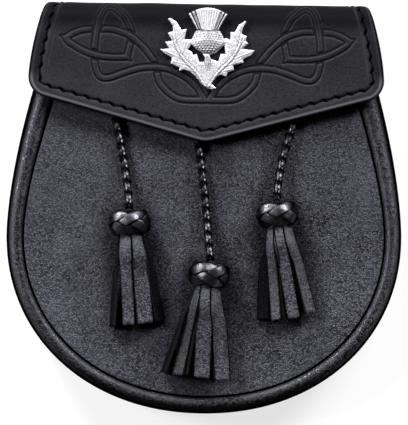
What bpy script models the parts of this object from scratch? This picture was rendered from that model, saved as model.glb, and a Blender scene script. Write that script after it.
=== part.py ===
"""Day sporran: a round-bottomed leather pouch with a stitched flap, a cast thistle badge and three
knotted tassels on plaited cords.

Metres, +Z up. The pouch lies on its back: +X runs across it, +Y from its bottom to the fold of its
flap, and +Z out of its front. The origin is under its middle, on the surface that it lies on.
"""

import math

import bmesh
import bpy
import numpy as np
from mathutils import Vector

MM = 0.001  # the tables below are in millimetres

# --- Driving dimensions
GAP = 0.3 * MM  # air between neighbouring pieces
SEAM_GAP = 0.4 * MM  # from the front panel's cut edge to the roll around it
MERGE = 0.001 * MM  # points nearer than this are one
PANEL_WALL = 2.0 * MM  # leather of the front and back panels
FLAP_WALL = 2.5 * MM  # two layers sewn together

# The outline of the pouch from the front: below, half an ellipse that is a little squarer than a true
# one, and above, gently narrowing sides
BODY_HALF_WIDTH = 95.0 * MM
BOTTOM_DEPTH = 85.5 * MM
WIDEST_Y = -12.9 * MM
MOUTH_Y = 84.0 * MM
MOUTH_NARROWING = 20.3 * MM
NARROWING_POWER = 1.6
SIDE_LENGTH = MOUTH_Y - WIDEST_Y
SQUARENESS = 2.1  # 2 is a true ellipse
BOTTOM_SHARE = 0.59  # of the rim's length, from the bottom to the widest point

SEAM_INSET = 8.2 * MM  # from the outline in to the seam of the front panel
BACK_INSET = 2.2 * MM  # from the outline in to the cut edge of the back panel
SEAM_Z = 27.0 * MM  # top face of the front panel at its seam
FRONT_DOME = 3.5 * MM
DOME_POWER = 2.5
BACK_BOW = 7.0 * MM  # the back panel stands off the belt loops by this
BOW_STARTS, BOW_RISES = 16.0 * MM, 26.0 * MM
TAIL_LIFT = 2.8 * MM  # and off the flap's tail by this
LIFT_STARTS_Y, LIFT_ENDS_Y = 18.0 * MM, 64.0 * MM

FLAP_TIP_Y = 32.0 * MM
FLAP_TOP_Y = 98.4 * MM
FLAP_TOP_Z = 37.5 * MM
FLAP_HALF_WIDTH = 85.2 * MM
FLAP_NARROWING = 8.4 * MM  # each side, from the lower corner to the fold
FLAP_SIDE_DROP = 0.055  # share of its height that the flap falls at its side edges
FLAP_SLOPE = math.radians(15.3)  # of each half of the lower edge
FLAP_CORNER = 10.0 * MM
FLAP_TIP_ROUND = 15.0 * MM
CROWN_LENGTH, CROWN_TURN = 12.0 * MM, math.radians(12)
SHOULDER_RADIUS = 8.5 * MM
TAIL_LENGTH = 22.0 * MM
TAIL_NARROWING = 4.0 * MM

BADGE_X, BADGE_Y = 0.4 * MM, 77.0 * MM
STUD_Y, STUD_RADIUS, STUD_WAIST = 56.0 * MM, 6.0 * MM, 4.2 * MM
STRIP_TIP_Y, STRIP_HALF_LENGTH, STRIP_WIDTH, STRIP_THICK = 40.0 * MM, 50.0 * MM, 6.0 * MM, 3.0 * MM
LOOP_X, LOOP_WIDTH = 36.0 * MM, 22.0 * MM
#  y, height of the loop's lower face
LOOP_COURSE = (
    (2, 4.2), (8, 4.2), (11, 2.9), (14, 1.0), (17, 0), (39, 0), (42, 1.0), (45, 2.9), (48, 4.2), (54, 4.2),
)

CORD_DIAMETER = 4.2 * MM
CORD_STEP = 2.0  # diameters between the points of a cord's tube
KNOT_HALF_WIDTH, KNOT_HALF_HEIGHT, KNOT_HALF_LENGTH = 10.2 * MM, 7.8 * MM, 5.9 * MM
KNOT_Z = 38.8 * MM
KNOT_LOBES, KNOT_LOBE_RISE, KNOT_LOBE_WAVE = 5, 0.045, 0.6 * MM
KNOT_TAPER = 0.82  # how far the barrel's arc has run at the knot's ends
STRIP_CUT = 1.4 * MM  # thickness of a fringe strip
STRIP_ROOT = 3.5 * MM  # the strips part this far below the knot
STRIP_ROOT_SHARE = 0.84  # and this far out from the middle of the head
STRIP_NARROWING = 0.62  # share of its width that a strip has at its root

# --- Cross-section of the gusset: its rolled front edge, its side and its back flange.
# out is measured outwards from the front seam. up is from the front seam, or from the back panel.
#  out, up, measured from
GUSSET_SECTION = (
    (-4.0, -2.3, "front"),
    (0.1, -2.3, "front"),
    (0.4, -0.6, "front"),
    (1.3, 1.1, "front"),
    (3.2, 2.1, "front"),
    (5.4, 1.5, "front"),
    (7.1, -0.8, "front"),
    (8.1, -4.2, "front"),
    (8.2, -9.0, "front"),
    (7.8, 8.5, "back"),
    (6.5, 4.0, "back"),
    (4.6, 1.0, "back"),
    (3.0, 0.3, "back"),
    (-4.0, 0.3, "back"),
    (-4.0, 1.9, "back"),
    (2.6, 2.1, "back"),
    (4.9, 4.6, "back"),
    (6.2, 9.0, "back"),
    (6.6, -9.0, "front"),
    (6.4, -5.0, "front"),
    (5.2, -3.6, "front"),
    (3.4, -4.0, "front"),
    (-4.0, -4.0, "front"),
)

# --- Badge: the leaves' outline, its two pierced gaps and the ridges along its leaves.
# x, y from the badge's centre, clockwise from the left end of the thistle's neck
LEAVES = (
    (-4.4, 8.2), (-6.7, 5.2), (-7.9, 3.9), (-11.1, 4.0), (-10.1, 8.9), (-12.5, 8.4), (-15.1, 12.4),
    (-17.9, 14.1), (-19.1, 13.6), (-16.7, 10.4), (-16.5, 7.8), (-19.1, 6.9), (-16.9, 3.2),
    (-20.3, 2.6), (-18.3, -0.6), (-22.7, -0.9), (-20.9, -2.6), (-16.9, -4.8), (-17.5, -7.6),
    (-13.1, -9.6), (-13.5, -11.1), (-10.7, -10.6), (-7.9, -11.6), (-5.1, -14.0), (-2.7, -17.2),
    (0.5, -19.4), (2.5, -19.6), (4.5, -19.2), (2.1, -17.0), (4.3, -14.0), (6.5, -12.6),
    (9.2, -13.6), (9.7, -11.6), (12.8, -10.4), (12.3, -8.2), (17.3, -6.9), (16.9, -5.2),
    (20.9, -3.2), (22.5, -0.9), (16.7, -0.2), (19.5, 2.4), (18.1, 3.6), (18.8, 5.8), (16.1, 7.0),
    (16.7, 10.0), (18.3, 12.4), (17.9, 13.2), (14.9, 11.2), (12.9, 7.7), (10.9, 7.8), (10.9, 3.9),
    (8.9, 4.8), (7.2, 4.4), (5.2, 8.2),
)
LEFT_GAP = (
    (-7.7, 1.6), (-9.5, -0.9), (-7.5, -2.0), (-6.7, -3.5), (-5.1, -3.0), (-3.9, -6.7),
    (-1.4, -6.7), (-1.2, -4.8), (-2.3, -2.6), (-5.3, -0.6),
)
RIGHT_GAP = (
    (8.1, 1.6), (8.7, -2.8), (6.3, -2.8), (5.3, -6.5), (1.9, -5.3), (0.9, -3.4), (4.2, -2.2),
    (6.1, -0.4),
)
LEAF_RIDGE = ((0.8, -18.4), (5.5, -11.4), (11.2, -5.6), (15.0, 1.0), (17.0, 10.4))
BARB_RIDGES = (((11.6, -5.0), (20.4, -1.6)), ((9.6, -7.4), (15.2, -7.2)))
BADGE_PLATE, BADGE_BULB, BADGE_FLOWER, BADGE_RIDGE = 1.8 * MM, 4.6 * MM, 3.2 * MM, 1.0 * MM
BULB_CENTRE, BULB_HALF_WIDTH, BULB_HALF_LENGTH = (0.0, 1.9 * MM), 7.6 * MM, 6.8 * MM
FLOWER_FOOT, FLOWER_TOP = (5.0 * MM, 6.6 * MM), (9.4 * MM, 16.4 * MM)  # half width, y
FLOWER_ARCH = 3.0 * MM
FLOWER_RIBS = 7
STEM_HALF_WIDTH = 1.5 * MM

# --- Tassels. The route of each cord is from under the flap to its knot: x, y, z
CORD_ROUTES = {
    "left": (
        (-45.0, 51.0, 31.85), (-43.0, 42.0, 32.2), (-41.2, 33.5, 32.45), (-39.5, 25.5, 32.55),
        (-38.2, 18.5, 32.85), (-37.2, 12.5, 34.7), (-36.5, 7.0, 36.9), (-36.1, 2.8, 38.3),
        (-36.0, -0.2, 38.7),
    ),
    "middle": (
        (-4.0, 39.4, 32.75), (-3.2, 31.0, 32.75), (-1.9, 22.0, 32.8), (-0.7, 13.0, 32.85),
        (0.4, 4.0, 32.85), (1.2, -3.5, 33.0), (1.8, -10.5, 34.8), (2.3, -16.0, 36.9),
        (2.8, -20.5, 38.3), (3.3, -24.5, 38.7),
    ),
    "right": (
        (44.6, 50.6, 31.85), (42.2, 41.5, 32.2), (39.8, 33.5, 32.45), (37.9, 27.0, 32.65),
        (36.4, 21.0, 33.6), (35.5, 15.0, 36.0), (34.9, 10.0, 37.8), (34.5, 4.8, 38.7),
    ),
}
#  side: knot's centre x, y and the lean of the tassel in degrees, towards +X at its foot
KNOTS = {"left": (-35.5, -7.1, 5.0), "middle": (2.8, -31.3, -5.7), "right": (35.0, -2.1, 5.9)}
# Each strip of a fringe: where it leaves the head (0 right, 90 top), then at its foot the distance
# to the side, the height over the panel, the tilt of its face, its width and its length.
#  round, side, over, tilt, width, length
FRINGES = {
    "left": (
        (118, -4.0, 7.3, 6, 6.2, 42.6), (58, 3.9, 7.2, -6, 8.2, 42.4),
        (182, -12.0, 4.4, 74, 6.6, 43.2), (4, 11.0, 4.0, -56, 7.0, 42.0),
        (250, -3.6, 1.4, 4, 7.4, 42.0), (292, 4.4, 1.4, -5, 7.4, 41.0),
    ),
    "middle": (
        (100, 2.1, 7.6, 3, 8.2, 43.4), (52, 12.1, 6.4, -14, 8.2, 43.6),
        (140, -9.6, 5.4, 32, 6.6, 43.4), (186, -16.4, 4.4, 76, 6.6, 43.2),
        (236, -4.4, 1.6, 8, 7.2, 43.0), (292, 6.6, 1.5, -6, 7.6, 42.6),
    ),
    "right": (
        (96, 3.5, 7.4, -3, 6.2, 44.0), (134, -5.0, 7.0, 12, 5.0, 44.2),
        (44, 11.8, 5.2, -24, 5.8, 42.4), (182, -11.0, 2.8, 28, 6.6, 43.4),
        (240, -3.0, 1.5, 4, 7.4, 42.4), (300, 5.6, 1.5, -5, 7.4, 42.0),
    ),
}
HEAD_HALF_WIDTH, HEAD_HALF_HEIGHT, HEAD_LENGTH = 6.5 * MM, 5.0 * MM, 9.0 * MM

# --- Finishes: sRGB colour, roughness, metallic
SMOOTH_LEATHER = ("smooth black leather", (0.060, 0.058, 0.066), 0.42, 0.0)
GRAIN_LEATHER = ("grained black leather", (0.090, 0.090, 0.098), 0.55, 0.0)
LACE_LEATHER = ("glossy black lace", (0.050, 0.050, 0.056), 0.30, 0.0)
CAST_METAL = ("bright cast metal", (0.75, 0.75, 0.77), 0.28, 1.0)


# --- Shapes of the pouch that several pieces share


def clear_scene():
    for obj in list(bpy.data.objects):
        bpy.data.objects.remove(obj, do_unlink=True)


def smooth_step(value):
    value = np.clip(value, 0.0, 1.0)
    return value * value * (3 - 2 * value)


def half_width(y, inset):
    """Half the width of the outline at this height, drawn in by inset, and by more where the roll round
    the front is wider, under the flap."""
    if y >= WIDEST_Y:
        rise = (y - WIDEST_Y) / SIDE_LENGTH
        wider = min(inset, SEAM_INSET) * 1.05 * rise**1.7 * (1 - 0.8 * rise**2.5)
        return BODY_HALF_WIDTH - inset - wider - MOUTH_NARROWING * rise**NARROWING_POWER
    drop = (WIDEST_Y - y) / (BOTTOM_DEPTH - inset)
    return (BODY_HALF_WIDTH - inset) * max(0.0, 1 - drop**SQUARENESS) ** (1 / SQUARENESS)


def rim_ratio(x, y, inset):
    """0 on the middle line of the pouch and 1 on its outline, drawn in by inset."""
    if y >= WIDEST_Y:
        return abs(x) / half_width(y, inset)
    across, down = abs(x) / (BODY_HALF_WIDTH - inset), (WIDEST_Y - y) / (BOTTOM_DEPTH - inset)
    return (across**SQUARENESS + down**SQUARENESS) ** (1 / SQUARENESS)


def rim_point(along, inset):
    """A point of the outline: along runs from -1 at the left end of the mouth to 1 at the right."""
    side = math.copysign(1.0, along)
    share = abs(along)
    if share <= BOTTOM_SHARE:
        angle = share / BOTTOM_SHARE * math.pi / 2
        x = (BODY_HALF_WIDTH - inset) * math.sin(angle) ** (2 / SQUARENESS)
        return side * x, WIDEST_Y - (BOTTOM_DEPTH - inset) * math.cos(angle) ** (2 / SQUARENESS)
    y = WIDEST_Y + (share - BOTTOM_SHARE) / (1 - BOTTOM_SHARE) * SIDE_LENGTH
    return side * half_width(y, inset), y


def front_z(x, y):
    """Top face of the front panel."""
    ratio = min(1.0, rim_ratio(x, y, SEAM_INSET))
    return SEAM_Z + FRONT_DOME * (1 - ratio**DOME_POWER)


def tail_lift(y):
    return TAIL_LIFT * smooth_step((y - LIFT_STARTS_Y) / (LIFT_ENDS_Y - LIFT_STARTS_Y))


def back_z(x, y):
    """Outer face of the back panel."""
    inside = (1 - rim_ratio(x, y, BACK_INSET)) * BODY_HALF_WIDTH
    bow = (BACK_BOW - tail_lift(y)) * smooth_step((inside - BOW_STARTS) / BOW_RISES)
    return tail_lift(y) + bow


# --- Mesh helpers


def grid_faces(mesh, grid, wrap=False):
    """Quads between neighbouring rows and columns of a grid of vertices."""
    columns = len(grid[0])
    for row, following in zip(grid, grid[1:]):
        for i in range(columns if wrap else columns - 1):
            j = (i + 1) % columns
            mesh.faces.new((row[i], row[j], following[j], following[i]))


def lofted(rings):
    """A closed solid through rings of points, with flat ends."""
    mesh = bmesh.new()
    grid = [[mesh.verts.new(point) for point in ring] for ring in rings]
    grid_faces(mesh, grid, wrap=True)
    mesh.faces.new(grid[0])
    mesh.faces.new(grid[-1])
    return mesh


def sheet(top, bottom):
    """A closed wall between two grids of points with the same rows and columns."""
    mesh = bmesh.new()
    upper = [[mesh.verts.new(point) for point in row] for row in top]
    lower = [[mesh.verts.new(point) for point in row] for row in bottom]
    grid_faces(mesh, upper)
    grid_faces(mesh, lower)
    for sides in (
        (upper[0], lower[0]),
        (upper[-1], lower[-1]),
        ([row[0] for row in upper], [row[0] for row in lower]),
        ([row[-1] for row in upper], [row[-1] for row in lower]),
    ):
        grid_faces(mesh, sides)
    return mesh


def prism(outline, low, high):
    """A straight-sided solid on an outline of x, y points."""
    rings = [[(x, y, z) for x, y in outline] for z in (low, high)]
    return lofted(rings)


def material(finish):
    name, colour, roughness, metallic = finish
    made = bpy.data.materials.new(name)
    made.use_nodes = True
    shader = made.node_tree.nodes["Principled BSDF"]
    shader.inputs["Base Color"].default_value = (*[c**2.2 for c in colour], 1.0)
    shader.inputs["Roughness"].default_value = roughness
    shader.inputs["Metallic"].default_value = metallic
    return made


def solid(name, mesh, finish, crease=40):
    """The mesh as an object, with doubles merged and its faces turned outwards."""
    bmesh.ops.remove_doubles(mesh, verts=mesh.verts, dist=MERGE)
    bmesh.ops.dissolve_degenerate(mesh, dist=MERGE, edges=mesh.edges)
    bmesh.ops.recalc_face_normals(mesh, faces=mesh.faces)
    data = bpy.data.meshes.new(name)
    mesh.to_mesh(data)
    mesh.free()
    data.shade_smooth()
    data.set_sharp_from_angle(angle=math.radians(crease))
    data.materials.append(material(finish))
    obj = bpy.data.objects.new(name, data)
    bpy.context.scene.collection.objects.link(obj)
    return obj


def tool_piece(name, mesh, collection):
    """A helper solid that a Boolean reads, out of the render."""
    obj = solid(name, mesh, GRAIN_LEATHER)
    bpy.context.scene.collection.objects.unlink(obj)
    collection.objects.link(obj)
    obj.hide_render = True
    obj.display_type = "WIRE"
    return obj


def tool_collection(name):
    made = bpy.data.collections.new(name)
    bpy.context.scene.collection.children.link(made)
    return made


def combine(obj, collection, operation):
    cut = obj.modifiers.new(operation.lower(), "BOOLEAN")
    cut.operation = operation
    cut.operand_type = "COLLECTION"
    cut.collection = collection
    cut.solver = "EXACT"
    cut.use_self = True


# --- The pouch


def panel_rows(lower_rows, upper_rows, inset):
    """Heights for the rows of a panel, closer where its outline turns."""
    depth = BOTTOM_DEPTH - inset
    lower = [WIDEST_Y - depth * math.cos(i / lower_rows * math.pi / 2) for i in range(lower_rows)]
    upper = [WIDEST_Y + i / upper_rows * SIDE_LENGTH for i in range(upper_rows + 1)]
    return lower + upper


def panel(name, inset, rows, columns, face_z, wall, finish):
    """A sheet cut to the outline less inset. wall is below its face where negative."""
    face, other = [], []
    for y in rows:
        reach = half_width(y, inset)
        line = [(reach * (2 * i / columns - 1), y) for i in range(columns + 1)]
        face.append([(x, y, face_z(x, y)) for x, y in line])
        other.append([(x, y, face_z(x, y) + wall) for x, y in line])
    return solid(name, sheet(face, other), finish)


def make_front_panel():
    inset = SEAM_INSET + SEAM_GAP
    rows = panel_rows(9, 6, inset)
    panel("front_panel", inset, rows, 14, front_z, -PANEL_WALL, GRAIN_LEATHER)


def make_back_panel():
    rows = panel_rows(8, 9, BACK_INSET)
    panel("back_panel", BACK_INSET, rows, 16, back_z, PANEL_WALL, GRAIN_LEATHER)


def gusset_ring(along):
    base = {"front": lambda y: SEAM_Z, "back": lambda y: tail_lift(y) + PANEL_WALL}
    ring = []
    for out, up, measured_from in GUSSET_SECTION:
        x, y = rim_point(along, SEAM_INSET - out * MM)
        ring.append((x, y, base[measured_from](y) + up * MM))
    return ring


def make_gusset(stations=52):
    rings = [gusset_ring(2 * i / stations - 1) for i in range(stations + 1)]
    solid("gusset", lofted(rings), GRAIN_LEATHER)


# --- The flap


def flap_bends():
    """Length and turn of each stretch of the flap, from its tip over the fold to its tail."""
    crown_radius = CROWN_LENGTH / CROWN_TURN
    crown_reach = crown_radius * math.sin(CROWN_TURN)
    crown_drop = crown_radius * (1 - math.cos(CROWN_TURN))
    shoulder_turn = math.pi / 2 - CROWN_TURN
    shoulder_reach = SHOULDER_RADIUS * (1 - math.sin(CROWN_TURN))
    shoulder_drop = SHOULDER_RADIUS * math.cos(CROWN_TURN)
    front = FLAP_TOP_Y - FLAP_WALL / 2 - FLAP_TIP_Y - crown_reach - shoulder_reach
    fold = FLAP_TOP_Z - FLAP_WALL - crown_drop - shoulder_drop - SHOULDER_RADIUS
    return (
        (front, 0.0),
        (CROWN_LENGTH, CROWN_TURN),
        (SHOULDER_RADIUS * shoulder_turn, shoulder_turn),
        (fold, 0.0),
        (SHOULDER_RADIUS * math.pi / 2, math.pi / 2),
        (TAIL_LENGTH, 0.0),
    )


def flap_path(along):
    """Middle of the leather at this length from the tip: y, z and the angle that it has turned."""
    y, z, heading = FLAP_TIP_Y, FLAP_TOP_Z - FLAP_WALL / 2, 0.0
    left = along
    for length, turn in flap_bends():
        step = min(left, length)
        if turn:
            radius = length / turn
            after = heading + step / radius
            y += radius * (math.sin(after) - math.sin(heading))
            z += radius * (math.cos(after) - math.cos(heading))
            heading = after
        else:
            y += step * math.cos(heading)
            z -= step * math.sin(heading)
        left -= step
        if left <= 0:
            break
    return y, z, heading


def flap_half_width(along):
    """Half the width of the flap at this length from its tip."""
    corner_x = FLAP_HALF_WIDTH - FLAP_CORNER
    apex = FLAP_TIP_ROUND * (1 / math.cos(FLAP_SLOPE) - 1)
    corner_y = corner_x * math.tan(FLAP_SLOPE) + FLAP_CORNER / math.cos(FLAP_SLOPE) - apex
    if along < FLAP_TIP_ROUND * (1 - math.cos(FLAP_SLOPE)):
        return math.sqrt(2 * FLAP_TIP_ROUND * along - along * along)
    if along < corner_y - FLAP_CORNER * math.cos(FLAP_SLOPE):
        return (along + apex) / math.tan(FLAP_SLOPE)
    if along < corner_y:
        return corner_x + math.sqrt(FLAP_CORNER**2 - (along - corner_y) ** 2)
    lengths = [length for length, _ in flap_bends()]
    fold_at = sum(lengths[:3])
    tail_at = sum(lengths[:5])
    rise = min(1.0, (along - corner_y) / (fold_at - corner_y))
    tail = max(0.0, (along - tail_at) / TAIL_LENGTH)
    return FLAP_HALF_WIDTH - FLAP_NARROWING * rise**1.5 - TAIL_NARROWING * tail


def flap_rows():
    """Lengths from the tip at which the flap has a row of points."""
    lengths = [length for length, _ in flap_bends()]
    ends = [sum(lengths[:i]) for i in range(len(lengths) + 1)]
    rows = [v * MM for v in (0, 0.5, 2, 5, 9, 13, 17, 20.5, 21.8, 23.6, 25.8, 28.2, 30.8, 36, 42)]
    for start, end, steps in zip(ends[1:], ends[2:], (3, 5, 2, 5, 2)):
        rows += [start + (end - start) * i / steps for i in range(steps)]
    return rows + [ends[-1]]


def flap_point(x, along, side):
    """side is 1 on the outer face and -1 on the face towards the pouch."""
    y, z, heading = flap_path(along)
    y += side * FLAP_WALL / 2 * math.sin(heading)
    z += side * FLAP_WALL / 2 * math.cos(heading)
    return x, y, z * (1 - FLAP_SIDE_DROP * (x / FLAP_HALF_WIDTH) ** 2)


def make_flap(columns=10):
    outer, inner = [], []
    for along in flap_rows():
        line = [flap_half_width(along) * (2 * i / columns - 1) for i in range(columns + 1)]
        outer.append([flap_point(x, along, 1) for x in line])
        inner.append([flap_point(x, along, -1) for x in line])
    solid("flap", sheet(outer, inner), SMOOTH_LEATHER)


def make_snap_stud(sides=14):
    """The hidden fastener between the flap and the front panel, turned as one piece."""
    low = front_z(0, STUD_Y) + GAP
    high = FLAP_TOP_Z - FLAP_WALL - GAP
    wide, waist = STUD_RADIUS, STUD_WAIST
    rings = []
    for radius, share in ((wide, 0.0), (wide, 0.3), (waist, 0.45), (wide, 0.65), (wide, 1.0)):
        z = low + (high - low) * share
        turns = [2 * math.pi * i / sides for i in range(sides)]
        rings.append([(radius * math.cos(a), STUD_Y + radius * math.sin(a), z) for a in turns])
    solid("snap_stud", lofted(rings), CAST_METAL)


def make_cord_strip(steps=10):
    """The hidden strip on the front panel that the cords are sewn to, parallel to the flap's edge."""
    top, bottom = [], []
    for i in range(steps + 1):
        x = STRIP_HALF_LENGTH * (2 * i / steps - 1)
        foot = STRIP_TIP_Y + abs(x) * math.tan(FLAP_SLOPE)
        line = [(x, foot + STRIP_WIDTH * share) for share in (0, 0.5, 1)]
        bottom.append([(px, py, front_z(px, py) + GAP) for px, py in line])
        top.append([(px, py, front_z(px, py) + GAP + STRIP_THICK) for px, py in line])
    solid("cord_strip", sheet(top, bottom), GRAIN_LEATHER)


def make_belt_loops():
    """A strap sewn flat to the back at both ends, with room for a belt behind its middle."""
    for name, x in (("belt_loop_left", -LOOP_X), ("belt_loop_right", LOOP_X)):
        sides = (x - LOOP_WIDTH / 2, x + LOOP_WIDTH / 2)
        low = [[(px, y * MM, z * MM) for px in sides] for y, z in LOOP_COURSE]
        high = [[(px, y, z + PANEL_WALL) for px, y, z in row] for row in low]
        solid(name, sheet(high, low), GRAIN_LEATHER)


# --- The badge


def badge_outline(points):
    return [(BADGE_X + x * MM, BADGE_Y + y * MM) for x, y in points]


def ridge(start, end, half_width_foot, base, height):
    """A roof-shaped bar between two points of the badge."""
    a, b = (Vector(point) for point in badge_outline((start, end)))
    across = (b - a).orthogonal().normalized() * half_width_foot
    rings = []
    for point, share in ((a, 0.4), (a.lerp(b, 0.5), 1.0), (b, 0.3)):
        rings.append(
            [
                (*(point - across * share), base),
                (*point, base + height * share),
                (*(point + across * share), base),
                (*point, base - 0.5 * MM),
            ]
        )
    return lofted(rings)


def bulb(base, sides=18, rings=5):
    """The round head of the thistle, a dome on the plate."""
    levels = []
    for j in range(rings):
        rise = j / rings * math.pi / 2
        width, length = BULB_HALF_WIDTH * math.cos(rise), BULB_HALF_LENGTH * math.cos(rise)
        turns = [2 * math.pi * i / sides for i in range(sides)]
        z = base + BADGE_BULB * math.sin(rise)
        x0, y0 = BADGE_X + BULB_CENTRE[0], BADGE_Y + BULB_CENTRE[1]
        levels.append([(x0 + width * math.cos(a), y0 + length * math.sin(a), z) for a in turns])
    return lofted(levels)


def flower(base):
    """The fan of petals, with a rib down each."""
    top, bottom = [], []
    steps = 2 * FLOWER_RIBS
    for half, y, arch, high in (
        (*FLOWER_FOOT, 0.0, 0.8),
        ((FLOWER_FOOT[0] + FLOWER_TOP[0]) / 2, (FLOWER_FOOT[1] + FLOWER_TOP[1]) / 2, FLOWER_ARCH / 2, 1.0),
        (*FLOWER_TOP, FLOWER_ARCH, 0.85),
    ):
        line = [(2 * i / steps - 1, i % 2) for i in range(steps + 1)]
        spots = [(BADGE_X + half * v, BADGE_Y + y + arch * (1 - v * v), odd) for v, odd in line]
        top.append([(x, yy, base + BADGE_FLOWER * (high - 0.14 * (1 - odd))) for x, yy, odd in spots])
        bottom.append([(x, yy, base) for x, yy, odd in spots])
    return sheet(top, bottom)


def make_badge():
    base = FLAP_TOP_Z + GAP
    plate = solid("thistle_badge", prism(badge_outline(LEAVES), base, base + BADGE_PLATE), CAST_METAL, 25)
    gaps = tool_collection("badge gaps")
    for name, gap in (("left gap", LEFT_GAP), ("right gap", RIGHT_GAP)):
        tool_piece(name, prism(badge_outline(gap), base - MM, base + 3 * MM), gaps)
    combine(plate, gaps, "DIFFERENCE")
    relief = tool_collection("badge relief")
    tool_piece("bulb", bulb(base + 0.05 * MM), relief)
    tool_piece("flower", flower(base + 0.1 * MM), relief)
    stem = [(-STEM_HALF_WIDTH / MM, -1.0), (STEM_HALF_WIDTH / MM, -1.0), (1.9, -8.5), (-1.7, -8.5)]
    tool_piece("stem", prism(badge_outline(stem), base + 0.15 * MM, base + 2.6 * MM), relief)
    veins = list(zip(LEAF_RIDGE, LEAF_RIDGE[1:])) + list(BARB_RIDGES)
    for side, label in ((1, "right"), (-1, "left")):
        for i, ends in enumerate(veins):
            start, end = [(side * x, y) for x, y in ends]
            bar = ridge(start, end, 1.2 * MM, base + BADGE_PLATE - 0.1 * MM, BADGE_RIDGE)
            tool_piece(f"{label} vein {i}", bar, relief)
    combine(plate, relief, "UNION")


# --- The tassels


def smooth_curve(points, count):
    """Even steps along one smooth curve through the points (Catmull-Rom)."""
    ends = [points[0] * 2 - points[1], *points, points[-1] * 2 - points[-2]]
    dense = []
    for p0, p1, p2, p3 in zip(ends, ends[1:], ends[2:], ends[3:]):
        for i in range(20):
            t = i / 20
            dense.append(
                0.5
                * (
                    2 * p1
                    + (p2 - p0) * t
                    + (2 * p0 - 5 * p1 + 4 * p2 - p3) * t**2
                    + (3 * p1 - p0 - 3 * p2 + p3) * t**3
                )
            )
    dense.append(points[-1])
    run = np.array([0.0, *np.cumsum([(b - a).length for a, b in zip(dense, dense[1:])])])
    columns = np.array(dense).T
    even = np.linspace(0, run[-1], count)
    return [Vector([np.interp(s, run, column) for column in columns]) for s in even], run[-1]


def make_cord(side):
    points = [Vector(point) * MM for point in CORD_ROUTES[side]]
    length = smooth_curve(points, 2)[1]
    count = max(6, round(length / (CORD_STEP * CORD_DIAMETER)) + 1)
    route, _ = smooth_curve(points, count)
    curve = bpy.data.curves.new(f"cord_{side}", "CURVE")
    curve.dimensions = "3D"
    curve.bevel_depth = CORD_DIAMETER / 2
    curve.bevel_resolution = 2
    curve.use_fill_caps = True
    spline = curve.splines.new("POLY")
    spline.points.add(len(route) - 1)
    for point, place in zip(spline.points, route):
        point.co = (*place, 1.0)
    curve.materials.append(material(LACE_LEATHER))
    bpy.context.scene.collection.objects.link(bpy.data.objects.new(f"cord_{side}", curve))


def tassel_frame(side):
    """Centre of the knot, and the directions down the tassel, to its right and up."""
    x, y, lean = KNOTS[side]
    down = Vector((math.sin(math.radians(lean)), -math.cos(math.radians(lean)), 0.0))
    up = Vector((0.0, 0.0, 1.0))
    return Vector((x * MM, y * MM, KNOT_Z)), down, down.cross(up) * -1, up


def make_knot(side, columns=40, rows=8):
    """A barrel with lobed ends, the outer form of a braided knot."""
    centre, down, right, up = tassel_frame(side)
    rings = []
    for j in range(rows + 1):
        share = 2 * j / rows - 1
        ring = []
        for i in range(columns):
            angle = 2 * math.pi * i / columns
            lobe = math.cos(KNOT_LOBES * angle)
            reach = math.sqrt(1 - (KNOT_TAPER * share) ** 2) * (1 + KNOT_LOBE_RISE * share * lobe)
            place = centre + down * (share * KNOT_HALF_LENGTH)
            place += down * KNOT_LOBE_WAVE * lobe * (1 - share**8)
            place += right * reach * KNOT_HALF_WIDTH * math.cos(angle)
            place += up * reach * KNOT_HALF_HEIGHT * math.sin(angle)
            ring.append(place)
        rings.append(ring)
    solid(f"knot_{side}", lofted(rings), LACE_LEATHER)


def head_rings(side, sides=16):
    centre, down, right, up = tassel_frame(side)
    #  share of the length, share of the width
    shape = ((0.0, 0.93), (0.4, 1.0), (0.75, 1.0), (1.0, 0.8))
    rings = []
    for along, size in shape:
        place = centre + down * (KNOT_HALF_LENGTH + GAP + HEAD_LENGTH * along)
        turns = [2 * math.pi * i / sides for i in range(sides)]
        width, height = HEAD_HALF_WIDTH * size, HEAD_HALF_HEIGHT * size
        rings.append([place + right * width * math.cos(a) + up * height * math.sin(a) for a in turns])
    return rings


def strip_rings(side, row, steps=5):
    """Cross-sections of one strip, from inside the head to its foot."""
    leaves_at, foot_side, over, tilt, width, length = row
    centre, down, right, up = tassel_frame(side)
    angle = math.radians(leaves_at)
    # A face has no front, so the strip leaves along the head's tangent by the shorter turn.
    start_tilt = tilt + (leaves_at - tilt) % 180 - 90
    head = centre + down * (KNOT_HALF_LENGTH + GAP)
    foot = head + down * length * MM + right * foot_side * MM
    head_side = HEAD_HALF_WIDTH * STRIP_ROOT_SHARE * math.cos(angle)
    head_up = HEAD_HALF_HEIGHT * STRIP_ROOT_SHARE * math.sin(angle)
    foot_up = front_z(foot.x, foot.y) + over * MM - KNOT_Z
    rings = []
    for i in range(steps + 1):
        t = i / steps
        place = head + down * (STRIP_ROOT + (length * MM - STRIP_ROOT) * t)
        place += right * (head_side + (foot_side * MM - head_side) * t**1.15)
        place += up * (head_up + (foot_up - head_up) * smooth_step(t))
        turn = math.radians(start_tilt + (tilt - start_tilt) * smooth_step(1.6 * t))
        across = right * math.cos(turn) + up * math.sin(turn)
        through = (up * math.cos(turn) - right * math.sin(turn)) * STRIP_CUT / 2
        across *= width * MM / 2 * (STRIP_NARROWING + (1 - STRIP_NARROWING) * smooth_step(2 * t))
        corners = ((-1, -1), (1, -1), (1, 1), (-1, 1))
        rings.append([place + across * a + through * b for a, b in corners])
    return rings


def make_fringe(side):
    head = solid(f"fringe_{side}", lofted(head_rings(side)), GRAIN_LEATHER)
    strips = tool_collection(f"{side} strips")
    for i, row in enumerate(FRINGES[side]):
        tool_piece(f"{side} strip {i}", lofted(strip_rings(side, row)), strips)
    combine(head, strips, "UNION")


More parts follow.
